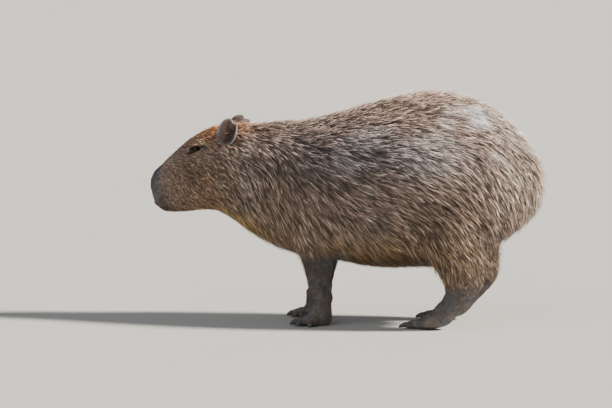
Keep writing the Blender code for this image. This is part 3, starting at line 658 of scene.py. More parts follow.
def hairColour(points):
    colour = np.tile(np.array(markings["body"]), (len(points), 1))
    for target, centre, size, strength in markings["regions"]:
        colour = mixed(colour, target, gauss(points, centre, size) * strength)
    # painted sheen laid over the hair's colour
    colour = mixed(colour, markings["pale"], paintedSheenShare(points))
    lower = shankShare(points)
    # painted shade: the underside of the chest and belly is darkened towards the belly colour
    belly = ease(points[:, 2], 0.245, 0.180) * (points[:, 0] > -0.05) * ease(points[:, 0], 0.26, 0.22)
    colour = mixed(colour, markings["belly"], belly * 0.90 * (1 - lower))
    # the dark eye-line, partly painted shade
    colour = mixed(colour, markings["eyeLineShade"], np.clip(eyeStreak(points) * 1.3, 0, 1))
    colour = mixed(colour, markings["slate"], noseShare(points))
    mottled = 1 + 0.30 * waves(points, 0.008, 11) + 0.20 * waves(points, 0.020, 12)
    shank = np.array(markings["shank"]) * mottled[:, None]
    shank = mixed(shank, markings["shankBrown"], 0.35 + 0.35 * waves(points, 0.014, 13))
    return colour + (shank - colour) * lower[:, None]


# Degrees that the hair points below straight back: rows by place, at low, middle and high on the side
lie = {
    "places": (-0.53, -0.45, -0.37, -0.27, -0.18, -0.08, 0.03, 0.15, 0.27, 0.38, 0.47, 0.54),
    "low": (55, 50, 46, 58, 60, 60, 46, 38, 50, 62, 70, 80),
    "mid": (45, 38, 34, 48, 56, 46, 26, 15, 24, 46, 62, 80),
    "high": (25, 18, 14, 18, 20, 12, 8, 6, 12, 28, 50, 75),
    "heights": (0.22, 0.38, 0.55),
}


def lieOf(points, normals):
    level = np.interp(points[:, 2], lie["heights"], (0, 1, 2))
    table = [np.interp(points[:, 0], lie["places"], lie[row]) for row in ("low", "mid", "high")]
    lower = table[0] + (table[1] - table[0]) * np.minimum(level, 1)
    angle = lower + (table[2] - table[1]) * np.maximum(level - 1, 0)
    # head hair needs its own heights, and legs carry it straight down
    headLevel = np.interp(points[:, 2], (0.30, 0.40, 0.50), (0, 1, 2))
    headLow = table[0] + (table[1] - table[0]) * np.minimum(headLevel, 1)
    headAngle = headLow + (table[2] - table[1]) * np.maximum(headLevel - 1, 0)
    angle = headAngle + (angle - headAngle) * ease(points[:, 0], -0.34, -0.24)
    angle = angle + (84 - angle) * ease(points[:, 2], 0.20, 0.12)
    # a whorl before the thigh turns the flank's hair down
    angle = angle + 28 * gauss(points, (0.215, 0, 0.215), (0.030, 9, 0.050))
    angle = np.radians(angle + 7 * waves(points, 0.060, 1) + 4 * waves(points, 0.020, 2))
    way = np.stack([np.cos(angle), 0.10 * waves(points, 0.06, 3), -np.sin(angle)], 1)
    # feet: over the toes it points ahead
    foot = ease(points[:, 2], 0.060, 0.030)[:, None]
    way = way * (1 - foot) + np.array((-0.9, 0, -0.4)) * foot
    way -= normals * (way * normals).sum(1)[:, None]
    return way / np.maximum(np.linalg.norm(way, axis=1), 1e-6)[:, None]


# Tufts: length, half width and height of the tips by place along X, with shares by height on the legs
tufts = {
    "places": (-0.540, -0.490, -0.430, -0.370, -0.310, -0.260, -0.200, -0.100, 0.300, 0.540),
    "length": (0.005, 0.009, 0.015, 0.020, 0.026, 0.036, 0.046, 0.050, 0.052, 0.047),
    "halfWidth": (0.0005, 0.0007, 0.0009, 0.0010, 0.0010, 0.0011, 0.0011, 0.0011, 0.0011, 0.0011),
    "height": (0.0006, 0.0013, 0.0024, 0.0032, 0.0050, 0.0075, 0.0105, 0.0115, 0.0120, 0.0120),
    "legHeights": (0.010, 0.060, 0.110, 0.160, 0.220, 0.280),
    "legShare": (0.08, 0.12, 0.24, 0.46, 0.78, 1.0),
    "least": 0.0005,
    "rootDepth": 0.0012,
    "mapPatch": 0.003,
    "cover": 8.0,
    "limit": 118000,
    "clump": 4,
    "most": 16000,
    "crown": (-0.390, 0, 0.540),
}


def sizeAt(points, word):
    value = np.interp(points[:, 0], tufts["places"], tufts[word])
    share = np.interp(points[:, 2], tufts["legHeights"], tufts["legShare"])
    share = share * (1 - 0.55 * shankShare(points))
    if word == "halfWidth":
        return np.maximum(value * np.sqrt(share), tufts["least"])
    # longer under the throat and on the crown, where it also stands up
    x, z = points[:, 0], points[:, 2]
    throat = ease(z, 0.340, 0.290) * ease(x, -0.24, -0.30) * ease(x, -0.50, -0.44)
    crown = gauss(points, tufts["crown"], (0.080, 9, 0.040))
    share = share * (1 + 0.45 * throat)
    share = share * (1 + (1.8 if word == "height" else 0.35) * crown)
    return value * share


def clumpsOf(roots, every, rng):
    # each tuft belongs to the nearest of the clumps' middles
    picks = rng.choice(len(roots), max(1, len(roots) // every), replace=False)
    finder = KDTree(len(picks))
    for k, place in enumerate(roots[picks]):
        finder.insert(place, k)
    finder.balance()
    owner = np.array([finder.find(place)[1] for place in roots])
    return owner, roots[picks]


def rootsOn(mesh, count, rng, cover):
    # root places over a mesh, closer together where the tufts are small
    mesh.calc_loop_triangles()
    triangles = np.zeros(len(mesh.loop_triangles) * 3, np.int32)
    mesh.loop_triangles.foreach_get("vertices", triangles)
    points, normals = meshArrays(mesh)
    corners = points[triangles.reshape(-1, 3)]
    middle = corners.mean(1)
    first, second = corners[:, 1] - corners[:, 0], corners[:, 2] - corners[:, 0]
    area = np.linalg.norm(np.cross(first, second), axis=1) / 2
    weight = area * cover(middle)
    total = min(count, int(weight.sum()))
    picks = rng.choice(len(area), total, p=weight / weight.sum())
    share = rng.dirichlet((1, 1, 1), total)
    faceNormal = normals[triangles.reshape(-1, 3)].mean(1)[picks]
    return (corners[picks] * share[:, :, None]).sum(1), faceNormal


def follow(tree, points):
    places = np.empty_like(points)
    normals = np.empty_like(points)
    for k, point in enumerate(points):
        place, normal = tree.find_nearest(point)[:2]
        places[k] = place
        normals[k] = normal
    return places, normals


def turned(way, normal, angle):
    across = np.cross(way, normal)
    return way * np.cos(angle)[:, None] + across * np.sin(angle)[:, None]


def growTufts(tree, roots, normals, length, halfWidth, height, rng, direction, clumps, stand, loose):
    # a root, two three-sided rings and a tip for each tuft, combed along the surface, drawn into clumps
    count = len(roots)
    owner, middles = clumps
    offset = roots - middles[owner]
    sway = rng.normal(0, 0.075, len(middles))[owner] + rng.normal(0, 0.06, count)
    curl = rng.normal(0, 0.05, len(middles))[owner] + rng.normal(0, 0.02, count)
    tall = height * rng.uniform(0.55, 1.0, len(middles))[owner] * rng.uniform(0.55, 1.0, count)
    flyaway = rng.uniform(0, 1, count) ** 3 * stand
    place, normal = roots, normals / np.linalg.norm(normals, axis=1)[:, None]
    stations, norms, ways = [], [], []
    for k, (step, rise) in enumerate(((0.0, 0.0), (0.26, 0.34), (0.38, 0.78), (0.36, 1.0))):
        if k:
            moved = place + ways[-1] * (length * step)[:, None]
            flat, flatNormal = follow(tree, moved)
            if k == 3:
                flat = flat + (moved - flat) * loose[:, None] + flatNormal * flyaway[:, None]
            if k == 2:
                flat = flat + flatNormal * (0.35 * flyaway)[:, None]
            place, normal = flat, flatNormal
        way = turned(direction(place, normal), normal, sway + curl * k)
        stations.append(place + normal * (tall * rise if k else np.full(count, -tufts["rootDepth"]))[:, None])
        if k > 1:
            across = np.cross(way, normal)
            stations[k] = stations[k] - across * ((offset * across).sum(1) * (0.22, 0.48)[k - 2])[:, None]
        norms.append(normal)
        ways.append(way)
    thick = halfWidth * 0.55
    verts = np.empty((count, 8, 3))
    verts[:, 0] = stations[0]
    verts[:, 7] = stations[3]
    for ring, k, wide in ((1, 1, 1.0), (4, 2, 0.72)):
        across = np.cross(ways[k], norms[k]) * (halfWidth * wide)[:, None]
        verts[:, ring] = stations[k] - across
        verts[:, ring + 1] = stations[k] + across
        verts[:, ring + 2] = stations[k] + norms[k] * thick[:, None]
    return verts


def unwrap(points):
    # the skin laid flat: the trunk by place and angle round it, each leg in a strip above
    rows = np.array(trunk["rows"])[::-1]
    middle = np.interp(points[:, 0], rows[:, 0], rows[:, 2])
    angle = np.arctan2(points[:, 1], points[:, 2] - middle) / (2 * math.pi) + 0.5
    u = 0.02 + 0.96 * (points[:, 0] + 0.56) / 1.12
    v = 0.01 + 0.68 * angle
    rear, right = points[:, 0] > 0.12, points[:, 1] > 0
    axisX = np.where(rear, 0.330, -0.055 - 0.03 * right)
    around = np.arctan2(points[:, 0] - axisX, np.abs(points[:, 1]) - 0.10) / (2 * math.pi) + 0.5
    strip = rear * 2 + right
    low = points[:, 2] < 0.19
    u = np.where(low, 0.01 + 0.25 * strip + 0.23 * around, u)
    v = np.where(low, 0.72 + 0.26 * np.clip(points[:, 2] / 0.19, 0, 1), v)
    return np.stack([u, v], 1)


def tuftPiece(name, verts, colours, flat):
    # one joined mesh of closed tufts, with their colours and a small patch of the map each
    count = len(verts)
    faces = []
    for p, q in ((1, 2), (2, 3), (3, 1)):
        faces.append((0, p, q))
    for p, q in ((1, 2), (2, 3), (3, 1)):
        faces.append((p, p + 3, q + 3, q))
    for p, q in ((4, 5), (5, 6), (6, 4)):
        faces.append((p, 7, q))
    loops = np.array([v for face in faces for v in face])
    starts = np.cumsum([0] + [len(face) for face in faces])[:-1]
    mesh = bpy.data.meshes.new(name)
    mesh.vertices.add(count * 8)
    mesh.vertices.foreach_set("co", verts.astype(np.float32).ravel())
    every = np.arange(count)[:, None]
    corner = (every * 8 + loops[None, :]).ravel().astype(np.int32)
    mesh.loops.add(len(corner))
    mesh.loops.foreach_set("vertex_index", corner)
    mesh.polygons.add(count * len(faces))
    mesh.polygons.foreach_set("loop_start", (every * len(loops) + starts[None, :]).ravel().astype(np.int32))
    mesh.update(calc_edges=True)
    layer = mesh.uv_layers.new(name="OFBake")
    patch = np.array(((0, -0.5), (-0.5, -0.2), (0.5, -0.2), (0, -0.2), (-0.5, 0.2), (0.5, 0.2), (0, 0.2),
                      (0, 0.5)))
    uv = flat[:, None, :] + patch[None, :, :] * tufts["mapPatch"]
    layer.data.foreach_set("uv", uv.reshape(-1, 2)[corner].astype(np.float32).ravel())
    paint = mesh.color_attributes.new("hairColour", "BYTE_COLOR", "POINT")
    rgba = np.ones((count, 8, 4), np.float32)
    rgba[:, :, :3] = np.clip(colours, 0, 1)
    paint.data.foreach_set("color", rgba.ravel())
    mesh.shade_smooth()
    piece = bpy.data.objects.new(name, mesh)
    bpy.context.scene.collection.objects.link(piece)
    return piece


def tuftColours(base, rng, clumps, plain):
    # dark at the root, pale before the tip, with some dark tufts; on bare skin one even colour
    count = len(base)
    owner, middles = clumps
    bright = rng.normal(0, 0.12, len(middles))[owner] + rng.normal(0, 0.52, count)
    tone = base * np.exp(bright * (1 - 0.7 * plain))[:, None]
    dark = (rng.uniform(0, 1, count) < 0.38) & (plain < 0.7)
    shares = np.tile(np.array((0.08, 0.22, 0.22, 0.26, 0.95, 0.95, 1.0, 1.30)), (count, 1))
    shares[dark, 4:8] *= 0.20
    shares = shares + (0.95 - shares) * plain[:, None]
    return tone[:, None, :] * shares[:, :, None]


def paintMesh(mesh, colours, name="hairColour"):
    paint = mesh.color_attributes.new(name, "FLOAT_COLOR", "POINT")
    rgba = np.ones((len(colours), 4), np.float32)
    rgba[:, :3] = colours
    paint.data.foreach_set("color", rgba.ravel())


def newMaterial(name, roughness, specular=0.35):
    made = bpy.data.materials.new(name)
    made.use_nodes = True
    shader = made.node_tree.nodes["Principled BSDF"]
    shader.inputs["Roughness"].default_value = roughness
    shader.inputs["Specular IOR Level"].default_value = specular
    return made, made.node_tree.nodes, made.node_tree.links, shader


def node(nodes, kind, **settings):
    made = nodes.new(kind)
    for key, value in settings.items():
        if hasattr(made, key):
            setattr(made, key, value)
        else:
            made.inputs[key.replace("_", " ")].default_value = value
    return made


def tinted(nodes, links, colour, fine, low, high):
    # a colour, or a socket that gives one, made darker and lighter by a noise
    spread = node(nodes, "ShaderNodeMapRange", To_Min=low, To_Max=high)
    links.new(fine, spread.inputs["Value"])
    mix = node(nodes, "ShaderNodeMix", data_type="RGBA", blend_type="MULTIPLY")
    mix.inputs["Factor"].default_value = 1.0
    if isinstance(colour, tuple):
        mix.inputs[6].default_value = (*colour, 1)
    else:
        links.new(colour, mix.inputs[6])
    links.new(spread.outputs["Result"], mix.inputs[7])
    return mix.outputs[2]


def coatMaterial():
    made, nodes, links, shader = newMaterial("hair", 0.58, 0.30)
    place = node(nodes, "ShaderNodeTexCoord")
    paint = node(nodes, "ShaderNodeVertexColor", layer_name="hairColour")
    strands = node(nodes, "ShaderNodeTexNoise", Scale=420.0, Detail=3.0, Roughness=0.6)
    links.new(place.outputs["Object"], strands.inputs["Vector"])
    colour = tinted(nodes, links, paint.outputs["Color"], strands.outputs["Fac"], 0.62, 1.38)
    links.new(colour, shader.inputs["Base Color"])
    bump = node(nodes, "ShaderNodeBump", Strength=0.25, Distance=0.0005)
    links.new(strands.outputs["Fac"], bump.inputs["Height"])
    links.new(bump.outputs["Normal"], shader.inputs["Normal"])
    shader.inputs["Sheen Weight"].default_value = 0.08
    shader.inputs["Sheen Roughness"].default_value = 0.5
    return made


def skinMaterial():
    made, nodes, links, shader = newMaterial("skin", 0.62, 0.35)
    place = node(nodes, "ShaderNodeTexCoord")
    paint = node(nodes, "ShaderNodeVertexColor", layer_name="hairColour")
    mask = node(nodes, "ShaderNodeVertexColor", layer_name="bareness")
    parted = node(nodes, "ShaderNodeSeparateColor")
    links.new(mask.outputs["Color"], parted.inputs["Color"])
    mottle = node(nodes, "ShaderNodeTexNoise", Scale=70.0, Detail=5.0, Roughness=0.62)
    grain = node(nodes, "ShaderNodeTexNoise", Scale=900.0, Detail=2.0)
    pebbles = node(nodes, "ShaderNodeTexVoronoi", Scale=330.0)
    pebbles.feature = "SMOOTH_F1"
    # wrinkles run round the shanks, closer together than their length
    squeeze = node(nodes, "ShaderNodeMapping")
    squeeze.inputs["Scale"].default_value = (70.0, 70.0, 420.0)
    creases = node(nodes, "ShaderNodeTexNoise", Scale=1.0, Detail=3.0, Roughness=0.55, Distortion=0.35)
    links.new(place.outputs["Object"], squeeze.inputs["Vector"])
    links.new(squeeze.outputs["Vector"], creases.inputs["Vector"])
    for texture in (mottle, grain, pebbles):
        links.new(place.outputs["Object"], texture.inputs["Vector"])
    colour = tinted(nodes, links, paint.outputs["Color"], mottle.outputs["Fac"], 0.62, 1.35)
    colour = tinted(nodes, links, colour, creases.outputs["Fac"], 0.50, 1.50)
    links.new(colour, shader.inputs["Base Color"])

    def masked(value, share):
        times = node(nodes, "ShaderNodeMath", operation="MULTIPLY")
        links.new(value, times.inputs[0])
        links.new(share, times.inputs[1])
        return times.outputs[0]

    normal = None
    for height, strength, distance in (
        (grain.outputs["Fac"], 0.5, 0.0005),
        (masked(pebbles.outputs["Distance"], parted.outputs["Red"]), 0.9, 0.0012),
        (masked(creases.outputs["Fac"], parted.outputs["Green"]), 1.0, 0.0050),
    ):
        bump = node(nodes, "ShaderNodeBump", Strength=strength, Distance=distance)
        links.new(height, bump.inputs["Height"])
        if normal:
            links.new(normal, bump.inputs["Normal"])
        normal = bump.outputs["Normal"]
    links.new(normal, shader.inputs["Normal"])
    return made


def plainMaterial(name, colour, roughness, scale, low, high, bumpSize, specular=0.4):
    # one colour broken by a noise, with a fine relief
    made, nodes, links, shader = newMaterial(name, roughness, specular)
    place = node(nodes, "ShaderNodeTexCoord")
    fine = node(nodes, "ShaderNodeTexNoise", Scale=scale, Detail=4.0)
    links.new(place.outputs["Object"], fine.inputs["Vector"])
    links.new(tinted(nodes, links, colour, fine.outputs["Fac"], low, high), shader.inputs["Base Color"])
    bump = node(nodes, "ShaderNodeBump", Strength=0.5, Distance=bumpSize)
    links.new(fine.outputs["Fac"], bump.inputs["Height"])
    links.new(bump.outputs["Normal"], shader.inputs["Normal"])
    return made


def paintedMaterial(name, roughness, specular, scale, detail, low, high, relief=0.0):
    # the painted colour broken by a noise, with a fine relief
    made, nodes, links, shader = newMaterial(name, roughness, specular)
    place = node(nodes, "ShaderNodeTexCoord")
    paint = node(nodes, "ShaderNodeVertexColor", layer_name="hairColour")
    fine = node(nodes, "ShaderNodeTexNoise", Scale=scale, Detail=detail[0], Roughness=detail[1])
    links.new(place.outputs["Object"], fine.inputs["Vector"])
    colour = tinted(nodes, links, paint.outputs["Color"], fine.outputs["Fac"], low, high)
    links.new(colour, shader.inputs["Base Color"])
    if relief:
        bump = node(nodes, "ShaderNodeBump", Strength=0.6, Distance=relief)
        links.new(fine.outputs["Fac"], bump.inputs["Height"])
        links.new(bump.outputs["Normal"], shader.inputs["Normal"])
    return made


# Paint of the skin: share of the hair's colour under the coat, partly painted shade, and painted shade along
# the mouth, in the nostrils and cleft and round the ears' bases
skinPaint = {
    "under": 0.34,
    "underHead": 0.20,
    "lip": (0.75, 0.0028),
    "noseShade": 0.85,
    "noseShadows": (((-0.535, 0.0285, 0.364), (0.012, 0.0045, 0.0070)),
                    ((-0.530, 0.0, 0.332), (0.014, 0.0018, 0.016))),
    "earShade": 0.70,
}


def paintSkin(piece):
    points, normals = meshArrays(piece.data)
    nose, shank = noseShare(points), shankShare(points)
    bare = np.maximum(nose, shank)
    # the skin under the coat keeps only part of the hair's colour, a larger part on the head and all of it on
    # bare skin: dark skin, with painted shade under the hair
    under = skinPaint["under"] + skinPaint["underHead"] * ease(points[:, 0], -0.30, -0.42)
    tone = hairColour(points) * (under + (1.0 - under) * bare)[:, None]
    # painted shade along the mouth's crease
    dark, wide = skinPaint["lip"]
    line = distanceTo(points + toRows, mouthLine(0.0, 0.0))
    tone *= (1 - dark * np.exp(-((line / wide) ** 2)))[:, None]
    front = np.abs(points[:, 0] + 0.5) < 0.05
    # painted shade in the nostrils and in the cleft under them
    for middle, size in skinPaint["noseShadows"]:
        tone *= (1 - skinPaint["noseShade"] * front * bothSides(points, middle, size))[:, None]
    for side in sides.values():
        socket = almond(points + toRows, side, 1.0)
        # painted shade: the skin in and round the slit, behind the ball and lids, is made near black
        tone = mixed(tone, markings["slit"], ease(socket, 1.35, 1.10))
        x, y, z = ears["place"]
        base = np.linalg.norm(points + toRows - np.array((x, side * y, z)), axis=1)
        tone *= (1 - skinPaint["earShade"] * ease(base, 0.050, 0.030))[:, None]
    paintMesh(piece.data, tone)
    paintMesh(piece.data, np.stack([nose, shank, bare], 1), "bareness")


hair = coatMaterial()
skin = buildSkin()
print("skin fused", len(skin.data.polygons))
shapeSkin(skin)
paintSkin(skin)
skin.data.materials.clear()
skin.data.materials.append(skinMaterial())
skin.data.shade_smooth()
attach(skin, "root")
fleshNodes = ["torso", "neck", "head"]
for word in sides:
    fleshNodes += [f"{part}_{word}" for part in ("foreleg", "thigh", "forefoot", "hindfoot")]
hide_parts(*fleshNodes)
print("skin shaped", len(skin.data.vertices), "points")

# Eyes: dark balls with a faint brown iris round the pupil, and the lids' rounded edges round the slit
eyePaint = {
    "pupil": (0.006, 0.004, 0.003),
    "iris": (0.020, 0.010, 0.005),
    "lid": (0.150, 0.105, 0.075),
    "edge": (0.014, 0.010, 0.009),
}
# each ring of a lid: how far it is grown from the slit, and its lift off the ball
lidRings = ((0.98, -0.0012), (0.99, 0.0006), (1.03, 0.0016), (1.10, 0.0024), (1.22, 0.0026),
            (1.42, 0.0016), (1.60, -0.0004), (1.62, -0.0030))
lidPoints = 56


def buildEyeball(name, centre, facing):
    bm = bmesh.new()
    bmesh.ops.create_uvsphere(bm, u_segments=48, v_segments=28, radius=eyes["radius"] - 0.0002)
    bmesh.ops.translate(bm, verts=bm.verts, vec=centre)
    ball = newPiece(name, bm)
    points, _ = meshArrays(ball.data)
    reach = np.linalg.norm(np.cross(points - np.array(centre), np.array(facing)), axis=1)
    tone = np.tile(np.array(eyePaint["pupil"]), (len(points), 1))
    ring = ease(reach, 0.0040, 0.0050) * ease(reach, 0.0100, 0.0085)
    paintMesh(ball.data, mixed(tone, eyePaint["iris"], ring))
    return ball


def lidRing(grow, lift, centre, facing, along, across):
    ring = []
    for k in range(lidPoints):
        angle = 2 * math.pi * k / lidPoints
        a = eyes["halfLength"] * math.cos(angle) * (1 + (grow - 1) * 0.62)
        c = eyes["halfHeight"] * power(math.sin(angle), 1.4) * (eyes["upper"] if angle < math.pi else 1.0)
        c = c * grow + (grow - 1) * 0.004 * math.sin(angle)
        flat = math.hypot(a, c)
        radius = eyes["radius"] + lift
        out = math.sqrt(max(radius**2 - flat**2, (0.34 * radius) ** 2))
        out += 0.3 * min(0.0, radius * 0.94 - flat)
        ring.append(centre + along * a + across * c + facing * out)
    return ring


def buildLids(name, side, centre, facing, along, across):
    bm = bmesh.new()
    loops = []
    for grow, lift in lidRings:
        verts = bmesh.ops.create_circle(bm, segments=lidPoints, radius=1.0)["verts"]
        for vert, point in zip(verts, lidRing(grow, lift, centre, facing, along, across)):
            vert.co = point
        loops.append([bm.edges.get((verts[k - 1], verts[k])) for k in range(lidPoints)])
    for low, high in zip(loops, loops[1:] + loops[:1]):
        bmesh.ops.bridge_loops(bm, edges=low + high)
    bmesh.ops.recalc_face_normals(bm, faces=bm.faces)
    lids = newPiece(name, bm)
    points, _ = meshArrays(lids.data)
    rel = points - np.array(centre)
    rim = almond(points + toRows, side, 1.0)
    tone = np.tile(np.array(eyePaint["lid"]), (len(points), 1))
    # a dark lid margin round the slit, partly painted shade
    tone = mixed(tone, eyePaint["edge"], ease(rim, 1.35, 1.12))
    corner = np.abs(rel @ np.array(along)) / eyes["halfLength"]
    level = np.abs(rel @ np.array(across)) / eyes["halfHeight"]
    # the corners darker still: dark lid margin, with painted shade in the corners
    tone = mixed(tone, eyePaint["edge"], ease(corner, 0.60, 0.78) * ease(level, 0.95, 0.55))
    paintMesh(lids.data, tone)
    paintMesh(lids.data, np.zeros((len(points), 3)), "bareness")
    return lids


eyeMaterial = paintedMaterial("eye", 0.07, 0.14, 600.0, (3.0, 0.5), 0.6, 1.4)
for word, side in sides.items():
    centre, facing, along, across = eyeFrame(side)
    centre = centre - Vector((trunk["centre"], 0, 0))
    ball = buildEyeball(f"eyeball_{word}", centre, facing)
    ball.data.materials.append(eyeMaterial)
    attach(ball, "root")
    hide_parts(f"eye_{word}")
    lids = buildLids(f"lids_{word}", side, centre, facing, along, across)
    lids.data.materials.append(skin.data.materials[0])
    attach(lids, "root")
print("eyes and lids")

# Ears: thin cups with a pale rim of painted rim light, a notch near the top and painted shade that darkens
# the hollow low in front
earForm = {
    "inner": (0.12, 0.30, 0.48, 0.64, 0.78, 0.89, 0.96),
    "rim": ((0.995, 0.0006, 0), (1.02, -0.0004, 0.5), (1.025, -0.0020, 1)),
    "outer": (0.98, 0.90, 0.80, 0.66, 0.50, 0.34),
    "points": 56,
    "curve": 2.4,
    "notch": (1.13, 0.20, 0.0062),
    "fold": (3.9, 0.55),
    # painted shade low in the front of the cup
    "hollow": (4.25, 0.8),
    # pale painted rim light on the cup's rim
    "rimLightColour": (0.360, 0.340, 0.370),
    "backColour": (0.050, 0.042, 0.044),
    "cupColour": (0.175, 0.115, 0.090),
}


def earAxes(side):
    facing = Vector((ears["facing"][0], side * ears["facing"][1], ears["facing"][2])).normalized()
    upward = Vector((0.10, side * 0.12, 1))
    upward = (upward - facing * upward.dot(facing)).normalized()
    across = facing.cross(upward) * side
    if across.x < 0:
        across = -across
    centre = Vector((ears["place"][0] - trunk["centre"], side * ears["place"][1], ears["place"][2]))
    return centre, facing, upward, across


def earTone(share, back, angle, edge):
    if back == 1:
        return np.array(earForm["backColour"]) * (1 + 0.5 * edge)
    # painted rim light: the rim is pale, brightest at the top and darker towards the bottom
    if share > 0.92:
        return np.array(earForm["rimLightColour"]) * (0.30 + 0.70 * float(ease(math.sin(angle), -0.75, 0.25)))
    # painted shade, low in front of the cup and deeper inside it
    at, wide = earForm["hollow"]
    low = math.exp(-(((angle - at) / wide) ** 2))
    hollow = max(low * float(ease(share, 0.95, 0.6)), 0.75 * float(ease(share, 0.45, 0.15)))
    return np.array(earForm["cupColour"]) * (1 - 0.92 * hollow)


def earRing(share, depth, back, axes):
    # one ring of the cup and its colours
    centre, facing, upward, across = axes
    edge = float(ease(share, 0.70, 1.0))
    ring, tones = [], []
    for k in range(earForm["points"]):
        angle = 2 * math.pi * k / earForm["points"]
        wide = ears["halfWidth"] * share * math.cos(angle)
        tall = ears["halfHeight"] * share * power(math.sin(angle), 0.9)
        at, size, deep = earForm["notch"]
        notch = math.exp(-(((angle - at) / size) ** 2)) * deep * edge
        notch += 0.0006 * math.sin(angle * 5 + 1) * edge
        at, size = earForm["fold"]
        foldIn = math.exp(-(((angle - at) / size) ** 2)) * edge
        ripple = 0.0014 * math.sin(angle * 3 + share * 5) * (1 - edge) * (share > 0.2)
        out = depth + ripple * (1 - back) + 0.004 * foldIn
        place = centre + facing * out + across * wide + upward * tall
        place += (centre - place).normalized() * (notch + 0.0035 * foldIn)
        ring.append(place)
        tones.append(earTone(share, back, angle, edge))
    return ring, tones


def buildEarCup(name, axes):
    curve = earForm["curve"]
    sections = [(s, -ears["depth"] * (1 - s**curve), 0) for s in earForm["inner"]]
    sections += earForm["rim"]
    for s in earForm["outer"]:
        sections.append((s, -ears["depth"] * (1 - (s / 1.02) ** curve) - ears["wall"], 1))
    rings = [earRing(share, depth, back, axes) for share, depth, back in sections]
    bm = bmesh.new()
    addLoft(bm, [ring for ring, _ in rings])
    cup = newPiece(name, bm)
    paintMesh(cup.data, np.array([tone for _, tones in rings for tone in tones]))
    return cup


earMaterial = paintedMaterial("earSkin", 0.60, 0.35, 260.0, (5.0, 0.65), 0.65, 1.35, 0.0008)
earCups = {}
for word, side in sides.items():
    axes = earAxes(side)
    cup = buildEarCup(f"earCup_{word}", axes)
    cup.data.materials.append(earMaterial)
    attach(cup, "root")
    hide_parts(f"ear_{word}")
    earCups[word] = (cup, np.array(axes[0]), np.array(axes[1]))
print("ears")

# Claws: blunt dark horn that comes out of each toe
clawMaterial = plainMaterial("claw", (0.060, 0.052, 0.048), 0.42, 240.0, 0.6, 1.6, 0.0004)
for word, side in sides.items():
    for kind, length in (("fore", feet["foreClaw"]), ("hind", feet["hindClaw"])):
        bm = bmesh.new()
        toes = toesOf(kind, side)
        for start, heading, reach in toes:
            addLoft(bm, clawRings(start, heading, side, reach, length))
        bmesh.ops.translate(bm, verts=bm.verts, vec=(-trunk["centre"], 0, 0))
        claws = newPiece(f"{kind}Claws_{word}", bm)
        claws.data.materials.append(clawMaterial)
        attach(claws, "root")
        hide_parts(*[f"{kind}claw_{word}_{k}" for k in range(1, len(toes) + 1)])
print("claws")

# Coat: how freely its tips hang and stand off the body
coat = {
    "loose": (0.15, 0.85),
    "fringe": 0.8,
    "standPlaces": (-0.46, -0.30, -0.15, 0.35, 0.52),
    "stand": (0.002, 0.006, 0.012, 0.016, 0.016),
    "crownStand": 0.010,
    "offEar": 0.029,
    "offMouth": 0.0030,
    "offEye": 1.18,
}
rng = np.random.default_rng(seed)


def surfaceOf(mesh):
    return BVHTree.FromPolygons([v.co for v in mesh.vertices], [p.vertices for p in mesh.polygons])


def coverAt(points):
    # tufts for each square metre: fewer on the muzzle and legs, and hardly any on the nose
    each = sizeAt(points, "length") * sizeAt(points, "halfWidth") * 2
    cover = tufts["cover"] * np.interp(points[:, 0], (-0.50, -0.30, -0.20), (0.50, 0.75, 1.0))
    cover = cover * np.interp(points[:, 2], (0.02, 0.10, 0.22), (0.06, 0.30, 1.0))
    cover = cover * (1 - 0.97 * noseShare(points))
    return cover / each * (points[:, 2] > 0.012)


def aroundAxis(points, centre, facing):
    # each point's place from an ear's middle, its distance out along the axis and its distance from it
    rel = points - centre
    out = rel @ facing
    return rel, out, np.linalg.norm(rel - out[:, None] * facing, axis=1)


def clearOf(verts, roots):
    # leaves the eyes, the ears' cups and the mouth free
    keep = np.ones(len(verts), bool)
    for word, side in sides.items():
        for k in (0, 2, 5, 7):
            keep &= almond(verts[:, k] + toRows, side, coat["offEye"]) > 1.0
        _, centre, facing = earCups[word]
        rel, out, spread = aroundAxis(roots, centre, facing)
        behind = (rel[:, 0] > 0.006) & (out < -ears["depth"] - 0.004)
        keep &= (spread > coat["offEar"]) | (out < -0.045) | behind
    return keep & (distanceTo(roots + toRows, mouthLine(0.0, 0.0)) > coat["offMouth"])


